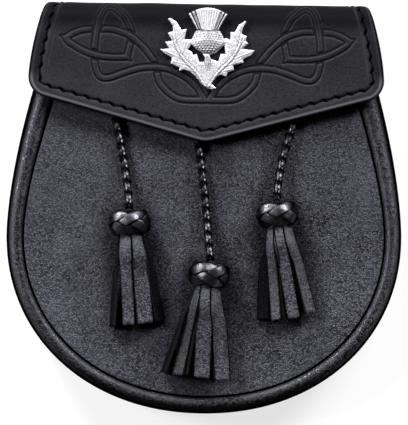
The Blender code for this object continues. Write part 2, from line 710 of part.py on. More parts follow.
def main():
    clear_scene()
    make_back_panel()
    make_gusset()
    make_front_panel()
    make_belt_loops()
    make_flap()
    make_snap_stud()
    make_cord_strip()
    make_badge()
    for side in KNOTS:
        make_cord(side)
        make_knot(side)
        make_fringe(side)


main()
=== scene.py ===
import math

import bmesh
import bpy
import numpy as np
from bpy.props import FloatProperty, FloatVectorProperty, PointerProperty
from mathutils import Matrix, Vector
from mathutils.geometry import delaunay_2d_cdt
from mathutils.kdtree import KDTree


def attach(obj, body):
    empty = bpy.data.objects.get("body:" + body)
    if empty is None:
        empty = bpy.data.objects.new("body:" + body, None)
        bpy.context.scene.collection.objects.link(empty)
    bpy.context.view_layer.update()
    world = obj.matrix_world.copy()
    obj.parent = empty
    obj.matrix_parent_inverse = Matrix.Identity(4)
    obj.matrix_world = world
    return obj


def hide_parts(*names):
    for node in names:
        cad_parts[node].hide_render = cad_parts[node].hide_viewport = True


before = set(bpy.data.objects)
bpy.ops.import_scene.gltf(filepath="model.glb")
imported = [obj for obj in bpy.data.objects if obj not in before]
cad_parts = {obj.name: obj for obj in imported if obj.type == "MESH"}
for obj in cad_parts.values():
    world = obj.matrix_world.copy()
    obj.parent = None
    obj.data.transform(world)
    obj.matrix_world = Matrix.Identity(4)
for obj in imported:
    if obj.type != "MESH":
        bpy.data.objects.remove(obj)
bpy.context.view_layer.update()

bl_info = {
    "name": "Sporran Pouch",
    "version": (1, 0, 0),
    "blender": (4, 5, 0),
    "location": "3D View > Sidebar > Sporran",
    "description": "Dresses the CAD part of a leather day sporran with its leather, stitching and badge",
    "category": "Object",
}

MM = 0.001  # metres in a millimetre: the tables below are in millimetres
ROUND = 2 * math.pi

# --- Sizes that the CAD source has as well
PANEL_WALL, FLAP_WALL = 2.0 * MM, 2.5 * MM
BODY_HALF_WIDTH, BOTTOM_DEPTH = 95.0 * MM, 85.5 * MM
WIDEST_Y, MOUTH_Y = -12.9 * MM, 84.0 * MM
MOUTH_NARROWING, NARROWING_POWER = 20.3 * MM, 1.6
SIDE_LENGTH = MOUTH_Y - WIDEST_Y
BOTTOM_SHARE, SQUARENESS = 0.59, 2.1
SEAM_INSET, SEAM_GAP, BACK_INSET = 8.2 * MM, 0.4 * MM, 2.2 * MM
SEAM_Z, FRONT_DOME, DOME_POWER = 27.0 * MM, 3.5 * MM, 2.5
BACK_BOW, BOW_STARTS, BOW_RISES = 7.0 * MM, 16.0 * MM, 26.0 * MM
TAIL_LIFT, LIFT_STARTS_Y, LIFT_ENDS_Y = 2.8 * MM, 18.0 * MM, 64.0 * MM
FLAP_TIP_Y, FLAP_TOP_Y, FLAP_TOP_Z = 32.0 * MM, 98.4 * MM, 37.5 * MM
FLAP_HALF_WIDTH, FLAP_NARROWING, FLAP_SIDE_DROP = 85.2 * MM, 8.4 * MM, 0.055
FLAP_SLOPE, FLAP_CORNER, FLAP_TIP_ROUND = math.radians(15.3), 10.0 * MM, 15.0 * MM
CROWN_LENGTH, CROWN_TURN, SHOULDER_RADIUS = 12.0 * MM, math.radians(12), 8.5 * MM
TAIL_LENGTH, TAIL_NARROWING = 22.0 * MM, 4.0 * MM
BADGE_X, BADGE_Y, BADGE_BASE = 0.4 * MM, 77.0 * MM, 37.8 * MM
STRIP_TIP_Y, STRIP_HALF_LENGTH, STRIP_WIDTH, STRIP_THICK = 40.0 * MM, 50.0 * MM, 6.0 * MM, 3.0 * MM
LOOP_X, LOOP_WIDTH = 36.0 * MM, 22.0 * MM
#  y and z of the belt loop's outer face, from its lower end to its upper end
LOOP_COURSE = (
    (2, 4.2), (8, 4.2), (11, 2.9), (14, 1.0), (17, 0), (39, 0), (42, 1.0), (45, 2.9), (48, 4.2), (54, 4.2),
)
#  radius of the snap stud, and at which share of its height
STUD_Y = 56.0 * MM
STUD = (
    (5.6, 0), (6.0, 0.06), (6.0, 0.24), (5.4, 0.3), (4.2, 0.36), (4.2, 0.55), (5.4, 0.62), (6.0, 0.7), (6.0, 0.94),
    (5.6, 1),
)
#  cross-section of the gusset: out from the front seam, and up from the front seam or from the back panel
GUSSET_SECTION = (
    ("front", (
        (-4.0, -2.3), (0.1, -2.3), (0.3, -0.9), (0.6, 0.2), (1.2, 1.05), (2.1, 1.6), (3.4, 1.9), (5.0, 1.7),
        (6.4, 0.6), (7.5, -1.4), (8.1, -4.2), (8.2, -9.0),
    )),
    ("back", (
        (7.8, 8.5), (6.5, 4.0), (4.6, 1.0), (3.0, 0.3), (-4.0, 0.3), (-4.0, 1.9), (2.6, 2.1), (4.9, 4.6), (6.2, 9.0),
    )),
    ("front", ((6.6, -9.0), (6.4, -5.0), (5.2, -3.6), (3.4, -4.0), (-4.0, -4.0))),
)
GUSSET_WALL = 9.0  # about how long the wall between its front points and its back points is
CORD_ROUTES = {
    "left": (
        (-45.0, 51.0, 31.85), (-43.0, 42.0, 32.2), (-41.2, 33.5, 32.45), (-39.5, 25.5, 32.55), (-38.2, 18.5, 32.85),
        (-37.2, 12.5, 34.7), (-36.5, 7.0, 36.9), (-36.1, 2.8, 38.3), (-36.0, -0.2, 38.7),
    ),
    "middle": (
        (-4.0, 39.4, 32.75), (-3.2, 31.0, 32.75), (-1.9, 22.0, 32.8), (-0.7, 13.0, 32.85), (0.4, 4.0, 32.85),
        (1.2, -3.5, 33.0), (1.8, -10.5, 34.8), (2.3, -16.0, 36.9), (2.8, -20.5, 38.3), (3.3, -24.5, 38.7),
    ),
    "right": (
        (44.6, 50.6, 31.85), (42.2, 41.5, 32.2), (39.8, 33.5, 32.45), (37.9, 27.0, 32.65), (36.4, 21.0, 33.6),
        (35.5, 15.0, 36.0), (34.9, 10.0, 37.8), (34.5, 4.8, 38.7),
    ),
}
#  side: knot's centre x, y, the lean of the tassel in degrees, and where its lace starts round it
KNOTS = {"left": (-35.5, -7.1, 5.0, 0.35), "middle": (2.8, -31.3, -5.7, 1.1), "right": (35.0, -2.1, 5.9, 0.2)}
KNOT_Z, KNOT_HALF_LENGTH, KNOT_TAPER = 38.8 * MM, 5.9 * MM, 0.82
KNOT_HALF_WIDTH, KNOT_HALF_HEIGHT = 10.2 * MM, 7.8 * MM
HEAD_HALF_WIDTH, HEAD_HALF_HEIGHT = 6.5 * MM, 5.0 * MM
#  round the head, then at the foot: to the side, over the panel, tilt, width and length; and how dark the strip is
#  painted, a painted shade on strips that turn aside or lie behind. The rows after the sixth are strips from inside
#  the roll.
FRINGES = {
    "left": (
        (118, -4.0, 7.3, 6, 6.2, 42.6, 0), (58, 3.9, 7.2, -6, 8.2, 42.4, 0), (182, -12.0, 4.4, 74, 6.6, 43.2, 0.93),
        (4, 11.0, 4.0, -56, 7.0, 42.0, 0.93), (250, -3.6, 1.4, 4, 7.4, 42.0, 0.93),
        (292, 4.4, 1.4, -5, 7.4, 41.0, 0.93),
    ),
    "middle": (
        (100, 2.1, 7.6, 3, 8.2, 43.4, 0), (52, 12.1, 6.4, -14, 8.2, 43.6, 0), (140, -9.6, 5.4, 32, 6.6, 43.4, 0.35),
        (186, -16.4, 4.4, 76, 6.6, 43.2, 0.93), (236, -4.4, 1.6, 8, 7.2, 43.0, 0.93),
        (292, 6.6, 1.5, -6, 7.6, 42.6, 0.93), (122, -5.6, 5.2, 78, 4.6, 43.0, 0.93),
    ),
    "right": (
        (96, 3.5, 7.4, -3, 6.2, 44.0, 0), (134, -5.0, 7.0, 12, 5.0, 44.2, 0), (44, 11.8, 5.2, -24, 5.8, 42.4, 0),
        (182, -11.0, 2.8, 28, 6.6, 43.4, 0.93), (240, -3.0, 1.5, 4, 7.4, 42.4, 0.93),
        (300, 5.6, 1.5, -5, 7.4, 42.0, 0.93), (112, -1.6, 5.0, 80, 4.2, 43.6, 0.93),
    ),
}
OUTER_STRIPS = 6  # so many strips of a fringe share the skirt under its knot

# --- The badge's lines, x and y from its centre. The leaves go clockwise from the left end of the neck.
LEAVES = (
    (-4.4, 8.2), (-6.7, 5.2), (-7.9, 3.9), (-11.1, 4.0), (-10.1, 8.9), (-12.5, 8.4), (-15.1, 12.4),
    (-17.9, 14.1), (-19.1, 13.6), (-16.7, 10.4), (-16.5, 7.8), (-19.1, 6.9), (-16.9, 3.2), (-20.3, 2.6),
    (-18.3, -0.6), (-22.7, -0.9), (-20.9, -2.6), (-16.9, -4.8), (-17.5, -7.6), (-13.1, -9.6), (-13.5, -11.1),
    (-10.7, -10.6), (-7.9, -11.6), (-5.1, -14.0), (-2.7, -17.2), (0.5, -19.4), (2.5, -19.6), (4.5, -19.2),
    (2.1, -17.0), (4.3, -14.0), (6.5, -12.6), (9.2, -13.6), (9.7, -11.6), (12.8, -10.4), (12.3, -8.2),
    (17.3, -6.9), (16.9, -5.2), (20.9, -3.2), (22.5, -0.9), (16.7, -0.2), (19.5, 2.4), (18.1, 3.6), (18.8, 5.8),
    (16.1, 7.0), (16.7, 10.0), (18.3, 12.4), (17.9, 13.2), (14.9, 11.2), (12.9, 7.7), (10.9, 7.8), (10.9, 3.9),
    (8.9, 4.8), (7.2, 4.4), (5.2, 8.2),
)
LEAF_GAPS = (
    (
        (-7.7, 1.6), (-9.5, -0.9), (-7.5, -2.0), (-6.7, -3.5), (-5.1, -3.0), (-3.9, -6.7), (-1.4, -6.7), (-1.2, -4.8),
        (-2.3, -2.6), (-5.3, -0.6),
    ),
    ((8.1, 1.6), (8.7, -2.8), (6.3, -2.8), (5.3, -6.5), (1.9, -5.3), (0.9, -3.4), (4.2, -2.2), (6.1, -0.4)),
)
FLOWER_LOW, FLOWER_HIGH, FLOWER_ARCH = (4.8, 8.4), (9.2, 16.2), 3.0
BULB = (
    (-4.7, 9.2), (-6.6, 6.4), (-7.6, 2.9), (-6.6, 0.6), (-4.4, -1.0), (-2.0, -2.1), (0.2, -2.5), (2.4, -2.1),
    (4.6, -0.9), (6.9, 0.8), (7.9, 3.0), (6.9, 6.4), (4.9, 9.2),
)
MIDRIB = ((0.8, -18.4), (5.5, -11.4), (11.2, -5.6), (15.0, 1.0), (17.0, 10.4), (17.8, 12.8))
SIDE_VEINS = (
    ((3.0, -15.2), (8.8, -12.9)), ((5.5, -11.4), (12.0, -10.0)), ((8.2, -8.5), (16.4, -6.4)),
    ((11.2, -5.6), (21.6, -1.2)), ((13.2, -2.2), (18.6, 2.6)), ((15.0, 1.0), (18.0, 5.4)),
    ((5.5, -11.4), (5.9, -7.2)), ((9.4, -7.4), (9.2, -3.2)), ((12.4, -3.6), (10.4, 2.6)), ((15.4, 3.2), (12.2, 6.6)),
)
#  where the flower is cut: across it from -1 to 1, how deep, and how dark
FLOWER_CUTS = (
    (-0.82, 0.35, 0.9), (-0.64, 0.3, 0.7), (0.66, 0.3, 0.6), (0.84, 0.35, 0.9), (-0.22, 0.15, 0), (0.18, 0.15, 0),
)

# --- Tooled knotwork on the left half of the flap, mirrored about the badge: one cord that passes
# over and under itself. Each stretch has its level (1 over, -1 under) and the middle of its band,
# x, y as seen from above.
KNOTWORK = (
    (0, ((-67.4, 81.0), (-64.5, 82.9), (-61.5, 84.2), (-59.5, 84.8))),
    (-1, ((-59.5, 84.8), (-57.1, 85.1), (-52.8, 85.4), (-48.9, 85.4))),
    (0, ((-48.9, 85.4), (-45.3, 85.3), (-41.7, 84.4))),
    (1, ((-41.7, 84.4), (-38.7, 83.3), (-35.4, 81.5), (-32.3, 78.8))),
    (0, ((-32.3, 78.8), (-29.3, 75.9), (-26.9, 72.9))),
    (-1, ((-26.9, 72.9), (-25.0, 70.4), (-24.0, 67.8), (-23.4, 64.0), (-23.0, 62.1))),
    (0, (
        (-23.0, 62.1), (-21.9, 59.7), (-20.3, 57.7), (-17.3, 54.9), (-13.4, 52.7), (-8.8, 52.0), (-4.0, 52.0),
        (-0.7, 51.9), (-2.1, 54.3), (-3.8, 57.4), (-6.6, 60.3), (-9.6, 62.7), (-13.2, 64.7), (-16.8, 66.2),
    )),
    (1, ((-16.8, 66.2), (-20.4, 67.0), (-24.4, 67.4), (-28.3, 67.3), (-31.9, 66.9))),
    (0, (
        (-31.9, 66.9), (-35.4, 65.9), (-39.0, 64.7), (-42.3, 63.5), (-45.3, 62.3), (-47.9, 61.9), (-50.1, 62.2),
        (-51.9, 64.1), (-53.0, 67.1), (-53.3, 68.8),
    )),
    (-1, ((-53.3, 68.8), (-53.5, 69.8), (-53.6, 73.4), (-53.6, 77.0), (-53.5, 78.9))),
    (0, ((-53.5, 78.9), (-53.3, 81.5))),
    (1, ((-53.3, 81.5), (-52.6, 85.7), (-51.7, 90.0))),
    (0, (
        (-51.7, 90.0), (-50.5, 93.0), (-49.1, 95.1), (-47.0, 96.4), (-44.3, 95.8), (-41.9, 93.7), (-39.4, 91.3),
        (-37.6, 88.3),
    )),
    (-1, ((-37.6, 88.3), (-36.3, 85.1), (-36.0, 82.0), (-36.5, 78.8), (-36.9, 77.3))),
    (0, ((-36.9, 77.3), (-37.5, 74.6), (-38.1, 72.1), (-43.3, 71.9), (-47.5, 72.0))),
    (1, ((-47.5, 72.0), (-51.1, 72.4), (-55.7, 73.6), (-59.9, 75.3))),
    (0, ((-59.9, 75.3), (-63.2, 77.2), (-65.9, 79.0), (-67.4, 81.0))),
)
#  where the cord turns a sharp corner: the middle of the corner and its point
KNOTWORK_POINTS = (((-67.4, 81.0), (-70.2, 82.0)), ((-38.1, 72.1), (-36.0, 70.3)), ((-0.7, 51.9), (0.4, 51.3)))


# --- Settings


def srgb(text):
    """A hex colour as the linear colour that a shader reads."""
    values = [int(text[i : i + 2], 16) / 255 for i in (1, 3, 5)]
    return (*[v / 12.92 if v <= 0.04045 else ((v + 0.055) / 1.055) ** 2.4 for v in values], 1.0)


def colour_setting(name, what, text):
    return FloatVectorProperty(
        name=name, description="Colour of " + what, default=srgb(text)[:3], subtype="COLOR", size=3
    )


def length_setting(name, what, size, least=0.0):
    return FloatProperty(name=name, description=what, default=size, min=least, unit="LENGTH")


def light_setting(name, what, strength, subtype="NONE"):
    return FloatProperty(name=name, description="Light of " + what, default=strength, min=0, subtype=subtype)


class SporranStage(bpy.types.PropertyGroup):
    camera_height: length_setting("Camera height", "From the floor to the camera", 3.0, 0.5)
    picture_height: length_setting("Picture height", "From the picture's top to its bottom, at the seam", 0.204, 0.05)
    camera_roll: FloatProperty(
        name="Camera roll", description="How far the camera is turned about its own axis",
        default=math.radians(0.85), subtype="ANGLE",
    )
    right_softbox: light_setting("Right softbox", "the low softbox past the fold, on the right", 75.0, "POWER")
    high_right_softbox: light_setting("High right softbox", "the higher softbox on the right", 24.0, "POWER")
    upper_left_softbox: light_setting("Upper left softbox", "the softbox past the fold, on the left", 98.0, "POWER")
    left_softbox: light_setting("Left softbox", "the softbox on the left", 48.0, "POWER")
    room_light: light_setting("Room light", "the room, even from all round", 0.02)
    floor_colour: colour_setting("Floor", "the floor", "#8e8e8e")
    floor_glow: light_setting("Floor glow", "the lamps under the floor", 0.75)


class SporranLeather(bpy.types.PropertyGroup):
    panel_colour: colour_setting("Body", "the body's leather", "#3a3a41")
    roll_colour: colour_setting("Roll", "the gusset's leather", "#2a2a2e")
    flap_colour: colour_setting("Flap", "the flap's leather", "#1a1a1d")
    seam_inset: length_setting("Seam inset", "From the flap's edge to its stitching", 5.5 * MM)
    stitch_pitch: length_setting("Stitch pitch", "From one stitch to the next", 6.15 * MM, MM)
    band_half_width: length_setting("Knotwork half width", "Half the width of the tooled cord", 1.55 * MM)
    band_depth: length_setting("Tooling depth", "Depth of the lines cut beside the cord", 0.42 * MM)


class SporranTassels(bpy.types.PropertyGroup):
    lace_colour: colour_setting("Lace", "the cords and knots", "#0c0c0e")
    strip_colour: colour_setting("Strips", "the fringes", "#35353b")
    cord_diameter: length_setting("Cord diameter", "Across the plait", 4.2 * MM)
    plait_pitch: length_setting("Plait pitch", "Length in which a strand goes once round", 12.2 * MM, MM)
    lace_width: length_setting("Knot lace", "Width of the lace in the knots", 5.2 * MM)
    strip_thickness: length_setting("Strip thickness", "Leather of the fringe", 1.3 * MM)


class SporranBadge(bpy.types.PropertyGroup):
    metal_colour: colour_setting("Metal", "the badge's metal", "#cfcfd2")
    grain: length_setting("Badge detail", "Size of the faces that the badge is made of", 0.3 * MM, 0.1 * MM)


# --- Numbers and meshes


def smooth_step(value):
    value = np.clip(value, 0.0, 1.0)
    return value * value * (3 - 2 * value)


def hump(value, middle, width):
    """1 at the middle, and less on both sides of it."""
    return np.exp(-(((value - middle) / width) ** 2))


def ripple(x, y, size):
    """A smooth, irregular wave from -1 to 1, with humps about as long as size."""
    a, b = ROUND * x / size, ROUND * y / size
    wave = np.sin(0.9 * a + 1.3 * np.sin(0.43 * b + 0.7)) * np.cos(0.8 * b + 0.9 * np.sin(0.37 * a))
    return 0.6 * wave + 0.4 * np.sin(1.7 * a - 1.1 * b + 2.0) * np.cos(1.3 * b + 0.6 * a)


def unit(vectors):
    return vectors / np.linalg.norm(vectors, axis=-1, keepdims=True)


def mesh_object(name, points, faces, finishes, kinds=None, turn=True, **layers):
    """A smooth-shaded object at the origin with its place in its mesh, faces turned outwards. kinds says
    which of its finishes each face has."""
    data = bpy.data.meshes.new(name)
    data.from_pydata([tuple(p) for p in np.asarray(points, float)], [], [tuple(f) for f in faces])
    for finish in finishes:
        data.materials.append(FINISHES[finish])
    if kinds is not None:
        data.polygons.foreach_set("material_index", np.asarray(kinds, np.int32))
    for key, values in layers.items():
        data.attributes.new(key, "FLOAT", "POINT").data.foreach_set("value", np.asarray(values, np.float32))
    if turn:
        work = bmesh.new()
        work.from_mesh(data)
        bmesh.ops.recalc_face_normals(work, faces=work.faces)
        work.to_mesh(data)
        work.free()
    data.shade_smooth()
    data.update()
    obj = bpy.data.objects.new(name, data)
    bpy.context.scene.collection.objects.link(obj)
    return obj


def dress(obj, slot, *nodes):
    """The piece rides on the pouch and stands for these nodes, whose CAD parts are hidden. slot is not used."""
    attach(obj, "root")
    if nodes:
        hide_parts(*nodes)


def grid_faces(rows, columns, start=0, wrap=False, flip=False):
    """Quads of a grid of points numbered row by row."""
    faces = []
    for r in range(rows - 1):
        for c in range(columns if wrap else columns - 1):
            d = (c + 1) % columns
            low = start + r * columns
            quad = (low + c, low + d, low + columns + d, low + columns + c)
            faces.append(quad[::-1] if flip else quad)
    return faces


def tube(rings, start=0):
    """Faces of a closed tube through rings of the same count, with flat ends."""
    count, sides = len(rings), len(rings[0])
    ends = [tuple(start + i for i in reversed(range(sides)))]
    ends.append(tuple(start + (count - 1) * sides + i for i in range(sides)))
    return grid_faces(count, sides, start, wrap=True) + ends


def border(rows, columns):
    """Row and column of every point round a grid, starting along its first row."""
    spots = [(0, c) for c in range(columns)] + [(r, columns - 1) for r in range(1, rows)]
    spots += [(rows - 1, c) for c in range(columns - 2, -1, -1)]
    return spots + [(r, 0) for r in range(rows - 2, 0, -1)]


def pairs(ring):
    """Each item of a closed ring with the next one."""
    ring = list(ring)
    return zip(ring, ring[1:] + ring[:1])


def circle(sides):
    return np.arange(sides) * ROUND / sides


def rounded_box(width, height, corner, turns):
    """Cross-section of a strap, with a point of each rounded corner at these degrees."""
    far, high = width - corner, height - corner
    section = []
    for quarter, (x, y) in enumerate(((far, high), (corner, high), (corner, corner), (far, corner))):
        for a in np.radians(90 * quarter + np.array(turns)):
            section.append((x + corner * math.cos(a), y + corner * math.sin(a)))
    return np.array(section)


def lengths(line):
    """How far along a line each of its points is."""
    return np.concatenate([[0], np.cumsum(np.linalg.norm(np.diff(line, axis=0), axis=1))])


def at_lengths(line, run, spots):
    return np.stack([np.interp(spots, run, line[:, k]) for k in range(line.shape[1])], axis=1)


def smooth_curve(points, count, closed=False):
    """Even steps along one smooth curve through the points (Catmull-Rom), and its length."""
    points = np.asarray(points, float)
    if closed:
        ends = np.vstack([points[-1], points, points[:2]])
    else:
        ends = np.vstack([2 * points[0] - points[1], points, 2 * points[-1] - points[-2]])
    t = np.linspace(0, 1, 20, endpoint=False)[:, None]
    dense = [
        0.5 * (2 * b + (c - a) * t + (2 * a - 5 * b + 4 * c - d) * t**2 + (3 * b - a - 3 * c + d) * t**3)
        for a, b, c, d in zip(ends, ends[1:], ends[2:], ends[3:])
    ]
    dense = np.vstack([*dense, points[:1] if closed else points[-1:]])
    run = lengths(dense)
    return at_lengths(dense, run, np.linspace(0, run[-1], count, endpoint=not closed)), run[-1]


def line_distance(points, line, step=None):
    """Distance of each 2-D point to a polyline, how far along the line that is, and the overrun past
    its ends."""
    run = lengths(line)
    count = max(len(line), int(run[-1] / (step or run[-1] / 40)) + 1)
    even = np.unique(np.concatenate([run, np.linspace(0, run[-1], count)]))
    line = at_lengths(line, run, even)
    tree = KDTree(len(line))
    for i, (x, y) in enumerate(line):
        tree.insert((x, y, 0.0), i)
    tree.balance()
    nearest = np.array([tree.find((x, y, 0.0))[1] for x, y in points], int)
    away = np.full(len(points), np.inf)
    along, over = np.zeros(len(points)), np.zeros(len(points))
    for first in (np.maximum(nearest - 1, 0), np.minimum(nearest, len(line) - 2)):
        a, b = line[first], line[first + 1]
        size = np.maximum(np.linalg.norm(b - a, axis=1), 1e-12)
        t = ((points - a) * (b - a)).sum(1) / size**2
        held = np.clip(t, 0, 1)
        gap = np.linalg.norm(points - (a + held[:, None] * (b - a)), axis=1)
        closer = gap < away - 1e-12
        past = np.where(first == 0, np.maximum(0, -t), 0)
        past += np.where(first == len(line) - 2, np.maximum(0, t - 1), 0)
        away = np.where(closer, gap, away)
        along = np.where(closer, even[first] + held * size, along)
        over = np.where(closer, past * size, over)
    return away, along, over


def outline_distance(points, outline):
    """Distance of each 2-D point to a closed line."""
    return line_distance(points, np.vstack([outline, outline[:1]]))[0]


# --- Shapes of the pouch


def half_width(y, inset):
    rise = np.clip((y - WIDEST_Y) / SIDE_LENGTH, 0, None)
    drop = np.clip((WIDEST_Y - y) / (BOTTOM_DEPTH - inset), 0, 1)
    wider = np.minimum(inset, SEAM_INSET) * 1.05 * rise**1.7 * (1 - 0.8 * rise**2.5)
    upper = BODY_HALF_WIDTH - inset - wider - MOUTH_NARROWING * rise**NARROWING_POWER
    return np.where(y >= WIDEST_Y, upper, (BODY_HALF_WIDTH - inset) * (1 - drop**SQUARENESS) ** (1 / SQUARENESS))


def rim_ratio(x, y, inset):
    """0 in the middle of the outline less inset, and 1 on it."""
    across, down = np.abs(x) / (BODY_HALF_WIDTH - inset), np.maximum(WIDEST_Y - y, 0) / (BOTTOM_DEPTH - inset)
    lower = (across**SQUARENESS + down**SQUARENESS) ** (1 / SQUARENESS)
    return np.where(y >= WIDEST_Y, np.abs(x) / half_width(np.maximum(y, WIDEST_Y), inset), lower)


def rim_points(along, inset):
    """Points of the outline less inset, for along from -1 at the left of the mouth to 1."""
    share = np.abs(along)
    angle = np.minimum(share / BOTTOM_SHARE, 1) * math.pi / 2
    low_x = (BODY_HALF_WIDTH - inset) * np.sin(angle) ** (2 / SQUARENESS)
    low_y = WIDEST_Y - (BOTTOM_DEPTH - inset) * np.clip(np.cos(angle), 0, 1) ** (2 / SQUARENESS)
    y = WIDEST_Y + np.maximum(share - BOTTOM_SHARE, 0) / (1 - BOTTOM_SHARE) * SIDE_LENGTH
    low = share <= BOTTOM_SHARE
    return np.stack([np.sign(along) * np.where(low, low_x, half_width(y, inset)), np.where(low, low_y, y)], axis=-1)


def front_z(x, y):
    ratio = np.minimum(rim_ratio(x, y, SEAM_INSET), 1)
    return SEAM_Z + FRONT_DOME * (1 - ratio**DOME_POWER)


def tail_lift(y):
    return TAIL_LIFT * smooth_step((y - LIFT_STARTS_Y) / (LIFT_ENDS_Y - LIFT_STARTS_Y))


def back_face(x, y, depth):
    inside = (1 - rim_ratio(x, y, BACK_INSET)) * BODY_HALF_WIDTH
    z = tail_lift(y) + (BACK_BOW - tail_lift(y)) * smooth_step((inside - BOW_STARTS) / BOW_RISES)
    return np.stack([x, y, z + depth], axis=-1)


def flap_bends():
    """Length and turn of each stretch of the flap, from its tip over the fold to its tail."""
    radius = CROWN_LENGTH / CROWN_TURN
    crown_reach, crown_drop = radius * math.sin(CROWN_TURN), radius * (1 - math.cos(CROWN_TURN))
    shoulder_turn = math.pi / 2 - CROWN_TURN
    shoulder_reach = SHOULDER_RADIUS * (1 - math.sin(CROWN_TURN))
    front = FLAP_TOP_Y - FLAP_WALL / 2 - FLAP_TIP_Y - crown_reach - shoulder_reach
    fold = FLAP_TOP_Z - FLAP_WALL - crown_drop - SHOULDER_RADIUS * (1 + math.cos(CROWN_TURN))
    return (
        (front, 0.0), (CROWN_LENGTH, CROWN_TURN), (SHOULDER_RADIUS * shoulder_turn, shoulder_turn),
        (fold, 0.0), (SHOULDER_RADIUS * math.pi / 2, math.pi / 2), (TAIL_LENGTH, 0.0),
    )


FLAP_LENGTHS = np.concatenate([[0], np.cumsum([length for length, _ in flap_bends()])])
FLAP_LENGTH = FLAP_LENGTHS[-1]


def flap_table(step=0.1 * MM):
    """Middle of the flap's leather against the length from its tip: length, y, z and heading."""
    along = np.linspace(0, FLAP_LENGTH, int(FLAP_LENGTH / step) + 1)
    turn = np.zeros_like(along)
    for start, (length, angle) in zip(FLAP_LENGTHS, flap_bends()):
        turn += angle * np.clip((along - start) / length, 0, 1)
    middle = (turn[1:] + turn[:-1]) / 2
    y = FLAP_TIP_Y + np.concatenate([[0], np.cumsum(np.cos(middle) * np.diff(along))])
    z = FLAP_TOP_Z - FLAP_WALL / 2 - np.concatenate([[0], np.cumsum(np.sin(middle) * np.diff(along))])
    return along, y, z, turn


FLAP_TABLE = flap_table()
CORNER_X = FLAP_HALF_WIDTH - FLAP_CORNER
CORNER_V = (
    CORNER_X * math.tan(FLAP_SLOPE) + FLAP_CORNER / math.cos(FLAP_SLOPE)
    - FLAP_TIP_ROUND * (1 / math.cos(FLAP_SLOPE) - 1)
)


def flap_side(v):
    """Half the width of the flap at length v from its tip, above its corners."""
    rise = np.clip((v - CORNER_V) / (FLAP_LENGTHS[3] - CORNER_V), 0, 1)
    tail = np.clip((v - FLAP_LENGTHS[5]) / TAIL_LENGTH, 0, None)
    return FLAP_HALF_WIDTH - FLAP_NARROWING * rise**1.5 - TAIL_NARROWING * tail


def on_flap(x, v, depth):
    """Place of a point of the flat flap at this depth under its outer face."""
    along, ys, zs, turns = FLAP_TABLE
    y, z, turn = (np.interp(v, along, column) for column in (ys, zs, turns))
    beyond = np.maximum(v - FLAP_LENGTH, 0) - np.maximum(-v, 0)
    y, z = y + beyond * np.cos(turn), z - beyond * np.sin(turn)
    rise = FLAP_WALL / 2 - depth
    y, z = y + rise * np.sin(turn), z + rise * np.cos(turn)
    return np.stack([x, y, z * (1 - FLAP_SIDE_DROP * (x / FLAP_HALF_WIDTH) ** 2)], axis=-1)


def mirrored(half):
    """The whole of a line whose right half starts in the middle."""
    return np.vstack([half[:0:-1] * (-1, 1), half])


def flap_half_edge(inset, end, step=0.5 * MM):
    """The right half of a line at this distance inside the flap's edge, from the tip up to length end."""
    tip, corner = FLAP_TIP_ROUND - inset, FLAP_CORNER - inset
    a = np.linspace(0, FLAP_SLOPE, 9)
    b = np.linspace(FLAP_SLOPE, math.pi / 2, 25)
    first = np.stack([tip * np.sin(a), FLAP_TIP_ROUND - tip * np.cos(a)], 1)
    second = np.stack([CORNER_X + corner * np.sin(b), CORNER_V - corner * np.cos(b)], 1)
    between = np.linspace(first[-1], second[0], int((second[0, 0] - first[-1, 0]) / step))[1:-1]
    v = np.linspace(CORNER_V, end, max(3, int((end - CORNER_V) / step)))[1:]
    return np.vstack([first, between, second, np.stack([flap_side(v) - inset, v], 1)])


def flap_edge(inset, end):
    return mirrored(flap_half_edge(inset, end))


# --- Nodes


def node(tree, kind, inputs=None, output=0, **settings):
    """Adds a node with its settings and links, and gives one of its outputs."""
    made = tree.nodes.new(kind)
    for key, value in settings.items():
        setattr(made, key, value)
    for key, value in (inputs or {}).items():
        socket = made.inputs[key]
        if isinstance(value, bpy.types.NodeSocket):
            tree.links.new(value, socket)
        else:
            socket.default_value = value
    return made.outputs[output] if made.outputs else made


def new_material(name, paint):
    """A material whose shader takes its inputs from paint, given the tree and object coordinates."""
    made = bpy.data.materials.new(name)
    made.use_nodes = True
    tree = made.node_tree
    tree.nodes.clear()
    place = node(tree, "ShaderNodeTexCoord", output="Object")
    shader = node(tree, "ShaderNodeBsdfPrincipled", paint(tree, place))
    node(tree, "ShaderNodeOutputMaterial", {"Surface": shader})
    return made


INK_AND_SHADE = (0.0006, 0.0006, 0.0008, 1.0)
WAX = srgb("#ececfa")  # black dye makes the wax over it look a little blue


def shade(colour, share):
    return (*[share * c for c in colour[:3]], 1.0)


